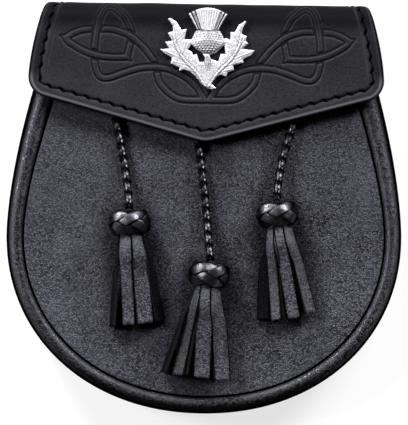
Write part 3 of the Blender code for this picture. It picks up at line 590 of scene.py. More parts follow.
def tooled_leather(colour, worn_and_lit):
    """Vegetable-tanned cowhide, dyed black, tooled and waxed: smooth, with a soft sheen. The cut lines and stitch
    holes are painted black, dye that settles in them and painted shade; a faint painted highlight lies beside each
    cut line, and the burnished edge is greyer, its own grey with a painted highlight on its lip."""

    def paint(tree, place):
        cut, seam, black, wear = (
            node(tree, "ShaderNodeAttribute", output="Fac", attribute_name=name)
            for name in ("cut", "seam", "black", "wear")
        )
        gap = node(tree, "ShaderNodeMath", {0: cut}, operation="ABSOLUTE")
        # the cut lines and stitch holes are painted black: dye in them, and painted shade
        line, hole = (
            node(
                tree, "ShaderNodeMapRange",
                {"Value": value, "From Min": near, "From Max": far, "To Min": most, "To Max": 0.0},
                interpolation_type="SMOOTHSTEP",
            )
            for value, near, far, most in ((gap, 0.2, 0.7, 0.7), (seam, 0.0, 0.45, 1.0))
        )
        dark = node(tree, "ShaderNodeMath", {0: line, 1: hole}, operation="MAXIMUM")
        # a faint painted highlight beside each cut line
        lip = node(
            tree, "ShaderNodeMapRange",
            {"Value": gap, "From Min": 0.5, "From Max": 1.3, "To Min": 0.1, "To Max": 0.0},
        )
        #  hide varies in patches of a centimetre or two, and its pores are drawn 1 mm apart so as to show
        patches = node(tree, "ShaderNodeTexNoise", {"Vector": place, "Scale": 60.0, "Detail": 5.0, "Roughness": 0.6})
        pores = node(tree, "ShaderNodeTexNoise", {"Vector": place, "Scale": 1000.0, "Detail": 2.0, "Roughness": 0.6})
        tone = node(tree, "ShaderNodeMath", {0: patches, 1: 0.5, 2: pores}, operation="MULTIPLY_ADD")
        share = node(tree, "ShaderNodeMapRange", {"Value": tone, "From Min": 0.45, "From Max": 1.05})
        # the burnished edge's own grey with its painted highlight, and the painted highlights beside the cuts
        rubbed_and_lit = node(tree, "ShaderNodeMath", {0: wear, 1: lip}, operation="MAXIMUM")
        tint = shade(colour, 0.45)
        for amount, over in ((share, shade(colour, 1.5)), (black, INK_AND_SHADE), (rubbed_and_lit, worn_and_lit), (dark, INK_AND_SHADE)):
            tint = node(tree, "ShaderNodeMix", {0: amount, 6: tint, 7: over}, 2, data_type="RGBA")
        rough = node(
            tree, "ShaderNodeMapRange",
            {"Value": pores, "From Min": 0.3, "From Max": 0.7, "To Min": 0.52, "To Max": 0.66},
        )
        matt = node(tree, "ShaderNodeMath", {0: dark, 1: 0.4, 2: rough}, operation="MULTIPLY_ADD")
        fine = node(tree, "ShaderNodeMath", {0: pores, 1: 0.14}, operation="MULTIPLY")
        height = node(tree, "ShaderNodeMath", {0: dark, 1: -0.3, 2: fine}, operation="MULTIPLY_ADD")
        normal = node(tree, "ShaderNodeBump", {"Height": height, "Distance": MM})
        deep = node(tree, "ShaderNodeMath", {0: dark, 1: black}, operation="MAXIMUM")
        shine = node(tree, "ShaderNodeMapRange", {"Value": deep, "To Min": 0.2, "To Max": 0.0})
        return {
            "Base Color": tint, "Roughness": matt, "Normal": normal, "Specular IOR Level": shine,
            "Specular Tint": WAX,
        }

    return new_material("tooled cowhide, dyed black", paint)


def dyed_through(tree, dyed, rough, normal, shine):
    """What the shader of waxed black leather takes. The black attribute paints it darker and duller: the own black of
    leather that nothing rubs in places, and painted shade and shadow in others.
    """
    black = node(tree, "ShaderNodeAttribute", output="Fac", attribute_name="black")
    dyed_and_shaded = node(tree, "ShaderNodeMix", {0: black, 6: dyed, 7: INK_AND_SHADE}, 2, data_type="RGBA")
    gloss = node(tree, "ShaderNodeMapRange", {"Value": black, "To Min": shine, "To Max": 0.0})
    return {
        "Base Color": dyed_and_shaded, "Roughness": rough, "Normal": normal, "Specular IOR Level": gloss,
        "Specular Tint": WAX,
    }


def pebbled_leather(name, colour, pebble, relief, contrast, roughness, shine):
    """Cowhide with a small pebble pressed into it, dyed black, and a little glossy. Its colour is painted darker in
    the creases and greyer on the pebbles, as painted shade and sparkle. The real pebble is too fine for the picture,
    and is drawn larger so as to show."""

    def paint(tree, place):
        cells = {"Vector": place, "Scale": 1 / pebble, "Randomness": 1.0}
        edge = node(tree, "ShaderNodeTexVoronoi", cells, "Distance", feature="DISTANCE_TO_EDGE")
        top = node(tree, "ShaderNodeMapRange", {"Value": edge, "From Min": 0.0, "From Max": 0.28})
        own = node(tree, "ShaderNodeTexVoronoi", cells, "Color")
        each = node(tree, "ShaderNodeSeparateColor", {"Color": own})
        patches = node(tree, "ShaderNodeTexNoise", {"Vector": place, "Scale": 45.0, "Detail": 5.0, "Roughness": 0.6})
        raised = node(tree, "ShaderNodeMath", {0: top, 1: each}, operation="MULTIPLY")
        # painted shade in the creases and painted sparkle on the pebbles' tops
        tone = node(tree, "ShaderNodeMath", {0: patches, 1: 0.5, 2: raised}, operation="MULTIPLY_ADD")
        share = node(tree, "ShaderNodeMapRange", {"Value": tone, "From Min": 0.15, "From Max": 1.0})
        low, high = shade(colour, 1 - contrast), shade(colour, 1 + 1.4 * contrast)
        dyed = node(tree, "ShaderNodeMix", {0: share, 6: low, 7: high}, 2, data_type="RGBA")
        span = {"Value": each, "To Min": roughness - 0.08, "To Max": roughness + 0.12}
        rough = node(tree, "ShaderNodeMapRange", span)
        creases = node(tree, "ShaderNodeTexNoise", {"Vector": place, "Scale": 0.35 / pebble, "Detail": 4.0})
        height = node(tree, "ShaderNodeMath", {0: creases, 1: 0.9, 2: raised}, operation="MULTIPLY_ADD")
        normal = node(tree, "ShaderNodeBump", {"Height": height, "Distance": relief})
        return dyed_through(tree, dyed, rough, normal, shine)

    return new_material(name, paint)


def lace_leather(name, colour, roughness, shine, wrinkle):
    """Thin kangaroo lace, waxed and pulled tight: it shines along the middle of every strand, and its edges are
    painted black, edge dye and painted shade in the gaps; the flanks of a cord or knot are painted black too, as
    painted shade."""

    def paint(tree, place):
        mottle = node(tree, "ShaderNodeTexNoise", {"Vector": place, "Scale": 450.0, "Detail": 2.0})
        share = node(tree, "ShaderNodeMapRange", {"Value": mottle, "From Min": 0.3, "From Max": 0.7})
        low, high = shade(colour, 0.5), shade(colour, 1)
        dyed = node(tree, "ShaderNodeMix", {0: share, 6: low, 7: high}, 2, data_type="RGBA")
        span = {"Value": mottle, "To Min": roughness - 0.08, "To Max": roughness + 0.1}
        rough = node(tree, "ShaderNodeMapRange", span)
        normal = node(tree, "ShaderNodeBump", {"Height": mottle, "Distance": wrinkle})
        return dyed_through(tree, dyed, rough, normal, shine)

    return new_material(name, paint)


def flesh_side(name, dark, light):
    """The rough inner side or the cut edge of dyed leather: matt, because it was neither waxed nor
    pressed, and uneven where the dye soaked in."""

    def paint(tree, place):
        nap = node(tree, "ShaderNodeTexNoise", {"Vector": place, "Scale": 900.0, "Detail": 4.0})
        share = node(tree, "ShaderNodeMapRange", {"Value": nap, "From Min": 0.3, "From Max": 0.7})
        dyed = node(tree, "ShaderNodeMix", {0: share, 6: srgb(dark), 7: srgb(light)}, 2, data_type="RGBA")
        normal = node(tree, "ShaderNodeBump", {"Height": nap, "Distance": 0.1 * MM})
        return {"Base Color": dyed, "Roughness": 0.85, "Normal": normal, "Specular IOR Level": 0.1}

    return new_material(name, paint)


def waxed_thread():
    """Waxed linen thread of two plies, black: duller than the leather round it, so that it reads as a
    dark line. Its twist is drawn 0.8 mm long so as to show."""

    def paint(tree, place):
        twist = node(tree, "ShaderNodeTexNoise", {"Vector": place, "Scale": 1200.0, "Detail": 2.0})
        normal = node(tree, "ShaderNodeBump", {"Height": twist, "Distance": 0.15 * MM})
        return {"Base Color": srgb("#030304"), "Roughness": 0.7, "Normal": normal, "Specular IOR Level": 0.05}

    return new_material("waxed linen thread", paint)


def cast_metal(colour):
    """Cast alloy with bright nickel plate: satin on the high places, duller and dark in hollows that
    polishing doesn't reach, and finely uneven as cast."""

    def paint(tree, place):
        hollow = node(tree, "ShaderNodeAttribute", output="Fac", attribute_name="hollow")
        skin = node(tree, "ShaderNodeTexNoise", {"Vector": place, "Scale": 900.0, "Detail": 3.0, "Roughness": 0.6})
        stained = node(tree, "ShaderNodeMath", {0: skin, 1: 0.6, 2: hollow}, operation="MULTIPLY_ADD")
        share = node(tree, "ShaderNodeMapRange", {"Value": stained, "From Min": 0.25, "From Max": 1.1})
        bright, stain = shade(colour, 1), srgb("#1c1c20")
        grey = node(tree, "ShaderNodeMix", {0: share, 6: bright, 7: stain}, 2, data_type="RGBA")
        rough = node(tree, "ShaderNodeMapRange", {"Value": stained, "From Min": 0.2, "To Min": 0.6, "To Max": 0.8})
        normal = node(tree, "ShaderNodeBump", {"Height": skin, "Distance": 0.22 * MM})
        return {"Base Color": grey, "Roughness": rough, "Normal": normal, "Metallic": 1.0}

    return new_material("nickel-plated casting", paint)


def light_table(colour, glow):
    """Matt white acrylic with lamps under it, as for goods that are photographed on white: it glows
    evenly, so that shadows on it are faint."""

    def paint(tree, place):
        return {
            "Base Color": shade(colour, 1), "Roughness": 0.9, "Specular IOR Level": 0.0,
            "Emission Color": (1.0, 1.0, 1.0, 1.0), "Emission Strength": glow,
        }

    return new_material("backlit acrylic", paint)


FINISHES = {}


def make_finishes(scene):
    stage, leather, tassels = scene.sporran_stage, scene.sporran_leather, scene.sporran_tassels
    #  the pebble's width and relief, its contrast, and the roughness and shine of the leather
    panel = (leather.panel_colour, 0.8 * MM, 0.3 * MM, 1.0, 0.56, 0.3)
    roll = (leather.roll_colour, 0.65 * MM, 0.22 * MM, 0.95, 0.36, 0.62)
    strips = (tassels.strip_colour, 0.8 * MM, 0.26 * MM, 0.97, 0.5, 0.45)
    FINISHES.update(
        floor=light_table(stage.floor_colour, stage.floor_glow),
        tooled=tooled_leather(leather.flap_colour, srgb("#535359")),
        panel=pebbled_leather("pebbled cowhide, pressed flat", *panel),
        roll=pebbled_leather("pebbled cowhide, rolled", *roll),
        strips=pebbled_leather("fringe cowhide, grain side", *strips),
        cord=lace_leather("round plait of waxed kangaroo lace", tassels.lace_colour, 0.36, 0.8, 0.05 * MM),
        knot=lace_leather("flat kangaroo lace", tassels.lace_colour, 0.36, 0.92, 0.3 * MM),
        flesh=flesh_side("fringe cowhide, flesh side", "#060607", "#131315"),
        edge=flesh_side("cut leather edge", "#3a3a3d", "#909094"),
        thread=waxed_thread(),
        metal=cast_metal(scene.sporran_badge.metal_colour),
    )


# --- The stage

FLOOR_HALF_WIDTH = 3.0
CAMERA_X, CAMERA_Y = -0.12 * MM, -1.68 * MM
SOFTBOX_WIDTH, SOFTBOX_HEIGHT = 0.6, 0.5
SOFTBOXES = {
    "right_softbox": (1.54, 1.54, 1.01), "high_right_softbox": (0.92, 1.59, 1.54),
    "upper_left_softbox": (-1.09, 1.88, 1.01), "left_softbox": (-1.78, 0.48, 1.54),
}


class SPORRAN_OT_stage(bpy.types.Operator):
    """Camera straight above the pouch, a pale floor and soft lights"""

    bl_idname = "sporran.stage"
    bl_label = "Stage"

    def execute(self, context):
        settings = context.scene.sporran_stage
        self.camera(settings)
        floor = np.array([(-1, -1, 0), (1, -1, 0), (1, 1, 0), (-1, 1, 0)]) * FLOOR_HALF_WIDTH
        mesh_object("floor", floor, [(0, 1, 2, 3)], ["floor"], turn=False)
        for key, place in SOFTBOXES.items():
            self.softbox(key.replace("_", " "), place, getattr(settings, key))
        world = bpy.data.worlds.new("pale room")
        world.use_nodes = True
        background = world.node_tree.nodes["Background"]
        background.inputs["Color"].default_value = (1.0, 1.0, 1.0, 1.0)
        background.inputs["Strength"].default_value = settings.room_light
        context.scene.world = world
        context.scene.view_settings.view_transform = "Standard"
        return {"FINISHED"}

    def camera(self, settings):
        data = bpy.data.cameras.new("camera")
        distance = settings.camera_height - SEAM_Z
        data.sensor_width = 36.0
        data.lens = data.sensor_width * distance / settings.picture_height
        data.clip_start, data.clip_end = 0.1, 20.0
        camera = bpy.data.objects.new("camera", data)
        camera.location = (CAMERA_X, CAMERA_Y, settings.camera_height)
        camera.rotation_euler = (0.0, 0.0, settings.camera_roll)
        bpy.context.scene.collection.objects.link(camera)
        bpy.context.scene.camera = camera

    def softbox(self, name, place, watts):
        data = bpy.data.lights.new(name, "AREA")
        data.shape, data.energy = "RECTANGLE", watts
        data.size, data.size_y = SOFTBOX_WIDTH, SOFTBOX_HEIGHT
        light = bpy.data.objects.new(name, data)
        light.location = place
        light.rotation_euler = (-Vector(place)).to_track_quat("-Z", "Y").to_euler()
        bpy.context.scene.collection.objects.link(light)


# --- Cords, knots and fringes


def cross_directions(path):
    """Two directions across a path at each of its points, turned as little as possible."""
    tangents = unit(np.gradient(path, axis=0))
    ups, up = [], np.array([0.0, 0.0, 1.0])
    for tangent in tangents:
        up = unit(up - tangent * (up @ tangent))
        ups.append(up)
    return np.array(ups), np.cross(tangents, ups)


def flat_profile(half, half_thick, sides=10, power=0.6):
    """A rounded flat cross-section: across and through."""
    c, s = np.cos(circle(sides)), np.sin(circle(sides))
    return np.stack([half * np.sign(c) * np.abs(c) ** power, half_thick * np.sign(s) * np.abs(s) ** power], 1)


def strand(line, heading, out, profile):
    """Cross-sections of a lace along a line, with its flat side facing out."""
    across = unit(np.cross(heading, out))
    through = np.cross(across, heading)
    return line[:, None] + profile[None, :, :1] * across[:, None] + profile[None, :, 1:] * through[:, None]


def plait(route, diameter, pitch):
    """Points, faces and blackness of four flat strands plaited round along a route, two turning each
    way."""
    count = max(24, int(smooth_curve(route, 2)[1] / (0.5 * MM)))
    path, length = smooth_curve(route, count)
    ups, rights = cross_directions(path)
    rounds = ROUND * np.linspace(0, length, count) / pitch
    half, middle, swing = 0.27 * diameter, 0.285 * diameter, 0.095 * diameter
    profile = flat_profile(half, 0.12 * diameter)
    edge = smooth_step(np.abs(profile[:, 0]) / half * 2 - 0.95)
    points, faces, black = [], [], []
    for way, phase in ((1, 0.0), (1, math.pi), (-1, 0.0), (-1, math.pi)):
        turn = way * rounds + phase
        reach = middle + way * swing * np.cos(2 * rounds)
        out = np.cos(turn)[:, None] * ups + np.sin(turn)[:, None] * rights
        line = path + out * reach[:, None]
        rings = strand(line, unit(np.gradient(line, axis=0)), out, profile)
        faces += tube(rings, sum(len(p) for p in points))
        points.append(rings.reshape(-1, 3))
        # painted shade: the strands are black on the plait's flanks, where they turn away to its sides, and along
        # their edges, in the gaps between them
        flank = 0.95 * smooth_step((np.abs(np.sin(turn)) - 0.5) / 0.4)
        black.append(np.maximum.outer(flank, edge).ravel())
    return np.vstack(points), faces, np.concatenate(black)


class SPORRAN_OT_cords(bpy.types.Operator):
    """Three round plaits of four strands, each from under the flap to its knot"""

    bl_idname = "sporran.cords"
    bl_label = "Cords"

    def execute(self, context):
        settings = context.scene.sporran_tassels
        for side, route in CORD_ROUTES.items():
            points, faces, black = plait(np.array(route) * MM, settings.cord_diameter, settings.plait_pitch)
            cord = mesh_object(f"plaited_cord_{side}", points, faces, ["cord"], black=black)
            dress(cord, "lace_leather", f"cord_{side}")
        return {"FINISHED"}


def tassel_frame(side):
    """Centre of the knot, and the directions down the tassel, to its right and up."""
    x, y, lean, _ = KNOTS[side]
    lean = math.radians(lean)
    down = np.array([math.sin(lean), -math.cos(lean), 0.0])
    up = np.array([0.0, 0.0, 1.0])
    return np.array([x * MM, y * MM, KNOT_Z]), down, -np.cross(down, up), up


class SPORRAN_OT_knots(bpy.types.Operator):
    """A braided knot of one flat lace, three leads and five bights, on the head of each tassel"""

    bl_idname = "sporran.knots"
    bl_label = "Knots"

    def execute(self, context):
        for side in KNOTS:
            self.knot(side, context.scene.sporran_tassels.lace_width)
        return {"FINISHED"}

    def knot(self, side, lace, steps=420):
        leads, bights, rim = 3, 5, 1.1 * MM
        centre, down, right, up = tassel_frame(side)
        t = np.linspace(0, ROUND, steps, endpoint=False)
        angle = leads * t + KNOTS[side][3]
        height = (KNOT_HALF_LENGTH - 0.46 * lace) * np.cos(bights * t)
        swell = np.sqrt(1 - (KNOT_TAPER * height / KNOT_HALF_LENGTH) ** 2)
        weave = 0.62 * MM * np.sin(2 * bights * t)
        wide, tall = ((half - rim) * swell + weave for half in (KNOT_HALF_WIDTH, KNOT_HALF_HEIGHT))
        side_way, up_way = np.cos(angle)[:, None] * right, np.sin(angle)[:, None] * up
        line = centre + height[:, None] * down + wide[:, None] * side_way + tall[:, None] * up_way
        out = unit(side_way / KNOT_HALF_WIDTH + up_way / KNOT_HALF_HEIGHT)
        out += (0.75 * height / KNOT_HALF_LENGTH)[:, None] * down
        profile = flat_profile(lace / 2, 0.55 * MM, 14, 0.7)
        rings = strand(line, unit(np.roll(line, -1, 0) - np.roll(line, 1, 0)), out, profile)
        sides = len(profile)
        last = (steps - 1) * sides
        faces = grid_faces(steps, sides, wrap=True)
        faces += [(last + i, last + (i + 1) % sides, (i + 1) % sides, i) for i in range(sides)]
        # painted shade: the lace is black along its edges, where it crosses and leaves gaps, and on the knot's flanks
        # that turn away to its sides
        edge = smooth_step((np.abs(profile[:, 0]) / (lace / 2) - 0.6) / 0.3)
        flank = 0.92 * smooth_step((np.abs(np.cos(angle)) - 0.66) / 0.26)
        black = np.maximum.outer(flank, edge).ravel()
        knot = mesh_object(f"braided_knot_{side}", rings.reshape(-1, 3), faces, ["knot"], black=black)
        dress(knot, "lace_leather", f"knot_{side}")


class SPORRAN_OT_fringes(bpy.types.Operator):
    """The leather fringe of each tassel: strips cut in one piece and rolled up under its knot"""

    bl_idname = "sporran.fringes"
    bl_label = "Fringes"

    def execute(self, context):
        thick = context.scene.sporran_tassels.strip_thickness
        for side, rows in FRINGES.items():
            parts = [self.core(side)]
            for order, (row, span) in enumerate(zip(rows, self.spans(rows))):
                start = sum(len(part[0]) for part in parts)
                parts.append(self.strip(side, row, span, thick, order, start))
            points, faces, kinds, black = zip(*parts)
            fringe = mesh_object(
                f"leather_fringe_{side}", np.vstack(points), sum(faces, []), ["strips", "flesh", "edge"],
                sum(kinds, []), black=np.concatenate(black),
            )
            dress(fringe, "grained_leather", f"fringe_{side}")
        return {"FINISHED"}

    def spans(self, rows):
        """From where to where each strip reaches round the skirt, which the outer strips share."""
        spans = [(row[0] - 6, row[0] + 6) for row in rows]
        order = sorted(range(OUTER_STRIPS), key=lambda i: rows[i][0])
        for before, i, after in zip(order[-1:] + order, order, order[1:] + order[:1]):
            at = rows[i][0]
            spans[i] = (at - (at - rows[before][0]) % 360 / 2, at + (rows[after][0] - at) % 360 / 2)
        return spans

    def core(self, side):
        """The strip's end, rolled up inside the skirt."""
        centre, down, right, up = tassel_frame(side)
        angle = circle(32)
        rings = []
        for along, size in ((-3.0, 0.6), (4.0, 0.66), (9.0, 0.6), (11.0, 0.3)):
            place = centre + down * (KNOT_HALF_LENGTH + along * MM)
            wide, tall = HEAD_HALF_WIDTH * size, HEAD_HALF_HEIGHT * size
            rings.append(place + np.cos(angle)[:, None] * right * wide + np.sin(angle)[:, None] * up * tall)
        faces, points = tube(rings), np.vstack(rings)
        return points, faces, [1] * len(faces), np.ones(len(points))

    def strip(self, side, row, span, thick, order, start, steps=40, columns=10):
        leaves_at, foot_side, over, tilt, width, length, tone_and_painted_shade = row
        centre, down, right, up = tassel_frame(side)
        angle = math.radians(leaves_at)
        head = centre + down * (KNOT_HALF_LENGTH - 1.6 * MM)
        reach = (length + 1.9) * MM
        foot = head + down * reach + right * foot_side * MM
        head_side, head_up = HEAD_HALF_WIDTH * 0.9 * math.cos(angle), HEAD_HALF_HEIGHT * 0.9 * math.sin(angle)
        foot_up = float(front_z(foot[0], foot[1])) + over * MM - KNOT_Z
        t = np.linspace(0, 1, steps + 1)
        line = head + np.outer(t * reach, down)
        line = line + np.outer(head_side + (foot_side * MM - head_side) * t**0.95, right)
        line = line + np.outer(head_up + (foot_up - head_up) * smooth_step(t), up)
        line = line + np.outer(0.3 * MM * np.sin(5 * t + 1.7 * order) * t, up)
        start_tilt = tilt + (leaves_at - tilt) % 180 - 90
        turn = np.radians(start_tilt + (tilt - start_tilt) * smooth_step(1.3 * t))
        across = np.cos(turn)[:, None] * right + np.sin(turn)[:, None] * up
        u = np.array([-1, -0.93, *np.linspace(-0.8, 0.8, columns - 3), 0.93, 1])
        hanging = line[:, None] + (width * MM / 2 * u)[None, :, None] * across[:, None]
        #  in the skirt a strip lies on the same round form as its neighbours, side by side with them
        way = 1 if across[0] @ (math.sin(angle) * right - math.cos(angle) * up) > 0 else -1
        middle, half = math.radians(sum(span) / 2), math.radians(span[1] - span[0]) / 2
        place = middle - way * half * u
        flare = (0.84 + 0.3 * smooth_step(t / 0.32))[:, None, None]
        round_form = HEAD_HALF_WIDTH * np.cos(place)[None, :, None] * right
        round_form = round_form + HEAD_HALF_HEIGHT * np.sin(place)[None, :, None] * up
        skirt = head + (t * reach)[:, None, None] * down + flare * round_form
        free = smooth_step((t - 0.1 - 0.03 * (order % 3)) / 0.3)[:, None, None]
        sheet = skirt * (1 - free) + hanging * free
        out = unit(np.cross(np.gradient(sheet, axis=1), np.gradient(sheet, axis=0)))
        if out[0, columns // 2] @ (math.cos(angle) * right + math.sin(angle) * up) < 0:
            out = -out
        points = np.vstack([(sheet + face * out * (thick / 2)).reshape(-1, 3) for face in (1, -1)])
        rows, count = steps + 1, columns + 1
        size = rows * count
        grain, flesh = grid_faces(rows, count, start), grid_faces(rows, count, start + size, flip=True)
        rim, rim_kinds = [], []
        for (r, c), (s, d) in pairs(border(rows, count)):
            a, b = start + r * count + c, start + s * count + d
            rim.append((a, size + a, size + b, b))
            rim_kinds.append(2 if r == s == steps else 1)
        #  the strips are painted blackest along the cuts, their edge dye and painted shade in the gaps between them,
        #  and a painted shadow darkens them under the knot
        cut = smooth_step((np.abs(u) - 0.74) / 0.2)
        knot = 0.7 * (1 - smooth_step((t * reach - 1.8 * MM) / (2.2 * MM)))
        # the table's last column paints shade on the strips that turn aside or lie behind
        black = np.maximum(np.maximum(cut[None, :], knot[:, None]), tone_and_painted_shade).ravel()
        return points, grain + flesh + rim, [0] * len(grain) + [1] * len(flesh) + rim_kinds, np.tile(black, 2)


# --- Stitches


def stitch_tree():
    """A row of thread stitches along a line. The line's points hold the direction out of the leather."""
    tree = bpy.data.node_groups.new("stitch row", "GeometryNodeTree")
    face = tree.interface
    face.new_socket("Line", in_out="INPUT", socket_type="NodeSocketGeometry")
    for name, value in (("Pitch", 6 * MM), ("Stitch Length", 5 * MM), ("Thread Width", 1.1 * MM), ("Slant", 0.2)):
        socket = face.new_socket(name, in_out="INPUT", socket_type="NodeSocketFloat")
        socket.default_value = value
    face.new_socket("Thread", in_out="INPUT", socket_type="NodeSocketMaterial")
    face.new_socket("Stitches", in_out="OUTPUT", socket_type="NodeSocketGeometry")
    given = {
        item.name: node(tree, "NodeGroupInput", output=item.name)
        for item in face.items_tree if item.in_out == "INPUT"
    }
    curve = node(tree, "GeometryNodeMeshToCurve", {"Mesh": given["Line"]})
    points = node(tree, "GeometryNodeResampleCurve", {"Curve": curve, "Length": given["Pitch"]}, mode="LENGTH")
    ball = node(tree, "GeometryNodeMeshUVSphere", {"Segments": 8, "Rings": 6, "Radius": 0.5})
    width = given["Thread Width"]
    size = node(tree, "ShaderNodeCombineXYZ", {"X": given["Stitch Length"], "Y": width, "Z": width})
    thread = node(tree, "GeometryNodeTransform", {"Geometry": ball, "Scale": size})
    along = node(
        tree, "FunctionNodeAlignRotationToVector", {"Vector": node(tree, "GeometryNodeInputTangent")}, axis="X"
    )
    out = node(tree, "GeometryNodeInputNamedAttribute", {"Name": "out"}, data_type="FLOAT_VECTOR")
    upright = node(
        tree, "FunctionNodeAlignRotationToVector", {"Rotation": along, "Vector": out}, axis="Z", pivot_axis="X"
    )
    slant = node(tree, "ShaderNodeCombineXYZ", {"Z": given["Slant"]})
    turned = node(
        tree, "FunctionNodeRotateRotation", {"Rotation": upright, "Rotate By": slant}, rotation_space="LOCAL"
    )
    placed = node(
        tree, "GeometryNodeInstanceOnPoints", {"Points": points, "Instance": thread, "Rotation": turned}
    )
    real = node(tree, "GeometryNodeRealizeInstances", {"Geometry": placed})
    smooth = node(tree, "GeometryNodeSetShadeSmooth", {"Geometry": real})
    painted = node(tree, "GeometryNodeSetMaterial", {"Geometry": smooth, "Material": given["Thread"]})
    node(tree, "NodeGroupOutput", {"Stitches": painted})
    return tree


def stitch_row(name, lines, outs, values):
    """One object with a stitch row along each line of points."""
    data = bpy.data.meshes.new(name + "_line")
    points = np.vstack(lines)
    edges, start = [], 0
    for line in lines:
        edges += [(start + i, start + i + 1) for i in range(len(line) - 1)]
        start += len(line)
    data.from_pydata([tuple(p) for p in points], edges, [])
    layer = data.attributes.new("out", "FLOAT_VECTOR", "POINT")
    layer.data.foreach_set("vector", np.vstack(outs).astype(np.float32).ravel())
    obj = bpy.data.objects.new(name, data)
    bpy.context.scene.collection.objects.link(obj)
    tree = bpy.data.node_groups.get("stitch row") or stitch_tree()
    modifier = obj.modifiers.new("stitches", "NODES")
    modifier.node_group = tree
    for item in tree.interface.items_tree:
        if item.item_type == "SOCKET" and item.name in values:
            modifier[item.identifier] = values[item.name]
    graph = bpy.context.evaluated_depsgraph_get()
    made = bpy.data.meshes.new_from_object(obj.evaluated_get(graph))
    obj.modifiers.remove(modifier)
    obj.data = made
    bpy.data.meshes.remove(data)
    made.name = name
    return obj


def face_outs(place, flat, step=0.2 * MM):
    """Directions out of a surface, given as a function of flat points and depth."""
    x, v = flat.T
    dx = place(x + step, v, 0.0) - place(x - step, v, 0.0)
    dv = place(x, v + step, 0.0) - place(x, v - step, 0.0)
    return unit(np.cross(dx, dv))


# --- The flap


def spaced(edges):
    """Rising numbers: each row gives an end and the step up to it."""
    values = [0.0]
    for end, step in edges:
        count = max(1, round((end - values[-1]) / step))
        values += list(np.linspace(values[-1], end, count + 1)[1:])
    return np.array(values)


def flap_grid():
    """Flat points of the flap in rows from its lower edge to the end of its tail. Rows follow the lower
    edge and columns follow the sides, closer together near the edges."""
    half = flap_half_edge(0.0, CORNER_V + 0.01 * MM)
    run = lengths(half)
    fine = np.array([0.0, 0.2, 0.4, 0.65, 0.95, 1.3, 1.7, 2.1]) * MM
    along = np.concatenate([np.linspace(0, run[-1] - fine[-1], 192), run[-1] - fine[-2::-1]])
    low = mirrored(at_lengths(half, run, along))
    share = np.concatenate([-along[:0:-1], along]) / run[-1]
    level = CORNER_V + 2.5 * MM
    top = np.stack([share * flap_side(level), np.full_like(share, level)], 1)
    rows = [low + (top - low) * s for s in np.concatenate([fine, np.linspace(fine[-1], level, 64)[1:]]) / level]
    heights = spaced((
        (FLAP_LENGTHS[3] - level, 0.46 * MM), (FLAP_LENGTHS[5] - level, 1.1 * MM),
        (FLAP_LENGTH - level - 2.0 * MM, 2.0 * MM), (FLAP_LENGTH - level, 0.35 * MM),
    ))[1:] + level
    return np.array(rows + [np.stack([share * flap_side(v), np.full_like(share, v)], 1) for v in heights])


def knotwork_relief(x, y, half, depth):
    """Height of the tooled knotwork at points seen from above, and how far each is from its cut lines,
    less than 0 inside the cord."""
    points = np.stack([-np.abs(x - BADGE_X), y], 1)
    near = (points[:, 1] > 45 * MM) & (points[:, 0] > -75 * MM)
    close = points[near]
    edges = {level: np.full(len(close), 9.0 * MM) for level in (-1, 0, 1)}
    for level, stretch in KNOTWORK:
        line = smooth_line(np.array(stretch) * MM - (BADGE_X, 0))
        away, _, over = line_distance(close, line, 0.5 * MM)
        edges[level] = np.where(over > 0.02 * MM, edges[level], np.minimum(edges[level], away - half))
    for ends in KNOTWORK_POINTS:
        line = np.array(ends) * MM - (BADGE_X, 0)
        away, along, _ = line_distance(close, line)
        share = along / lengths(line)[-1]
        edges[0] = np.minimum(edges[0], away - half * (1 - 0.9 * share))
    #  a stretch that passes under another stops short of it
    edges[-1] = np.maximum(edges[-1], 0.75 * MM - edges[1])
    cut = np.minimum(np.minimum(edges[-1], edges[0]), edges[1])
    inside = smooth_step(0.5 - cut / (0.5 * MM))
    relief, cuts = np.zeros(len(points)), np.full(len(points), 9.0)
    relief[near] = (0.3 + 0.25 * smooth_step(-cut / half)) * depth * inside - depth * hump(cut, 0, 0.5 * MM)
    cuts[near] = cut / MM
    return relief, cuts


def smooth_line(points):
    """A line of a few points, rounded except at its sharp corners."""
    headings = unit(np.diff(points, axis=0))
    sharp = [i for i, (a, b) in enumerate(zip(headings, headings[1:]), 1) if a @ b < 0.5]
    pieces = [points[i : j + 1] for i, j in zip([0, *sharp], [*sharp, len(points) - 1])]
    done = [smooth_curve(p, 6 * len(p))[0] if len(p) > 2 else p for p in pieces]
    return np.vstack([done[0], *[d[1:] for d in done[1:]]])


HOLE_SLANT = math.radians(-26)  # a pricking iron's holes lie across the seam
#  rings under the burnished edge: how far inside the outline, and how deep under the outer face. The
#  groove in the middle is where its two layers meet.
FLAP_EDGE = ((0.0, 1.42), (0.16, 1.52), (0.16, 1.6), (0.0, 1.7), (0.0, 2.1), (0.2, 2.38), (0.55, 2.5))


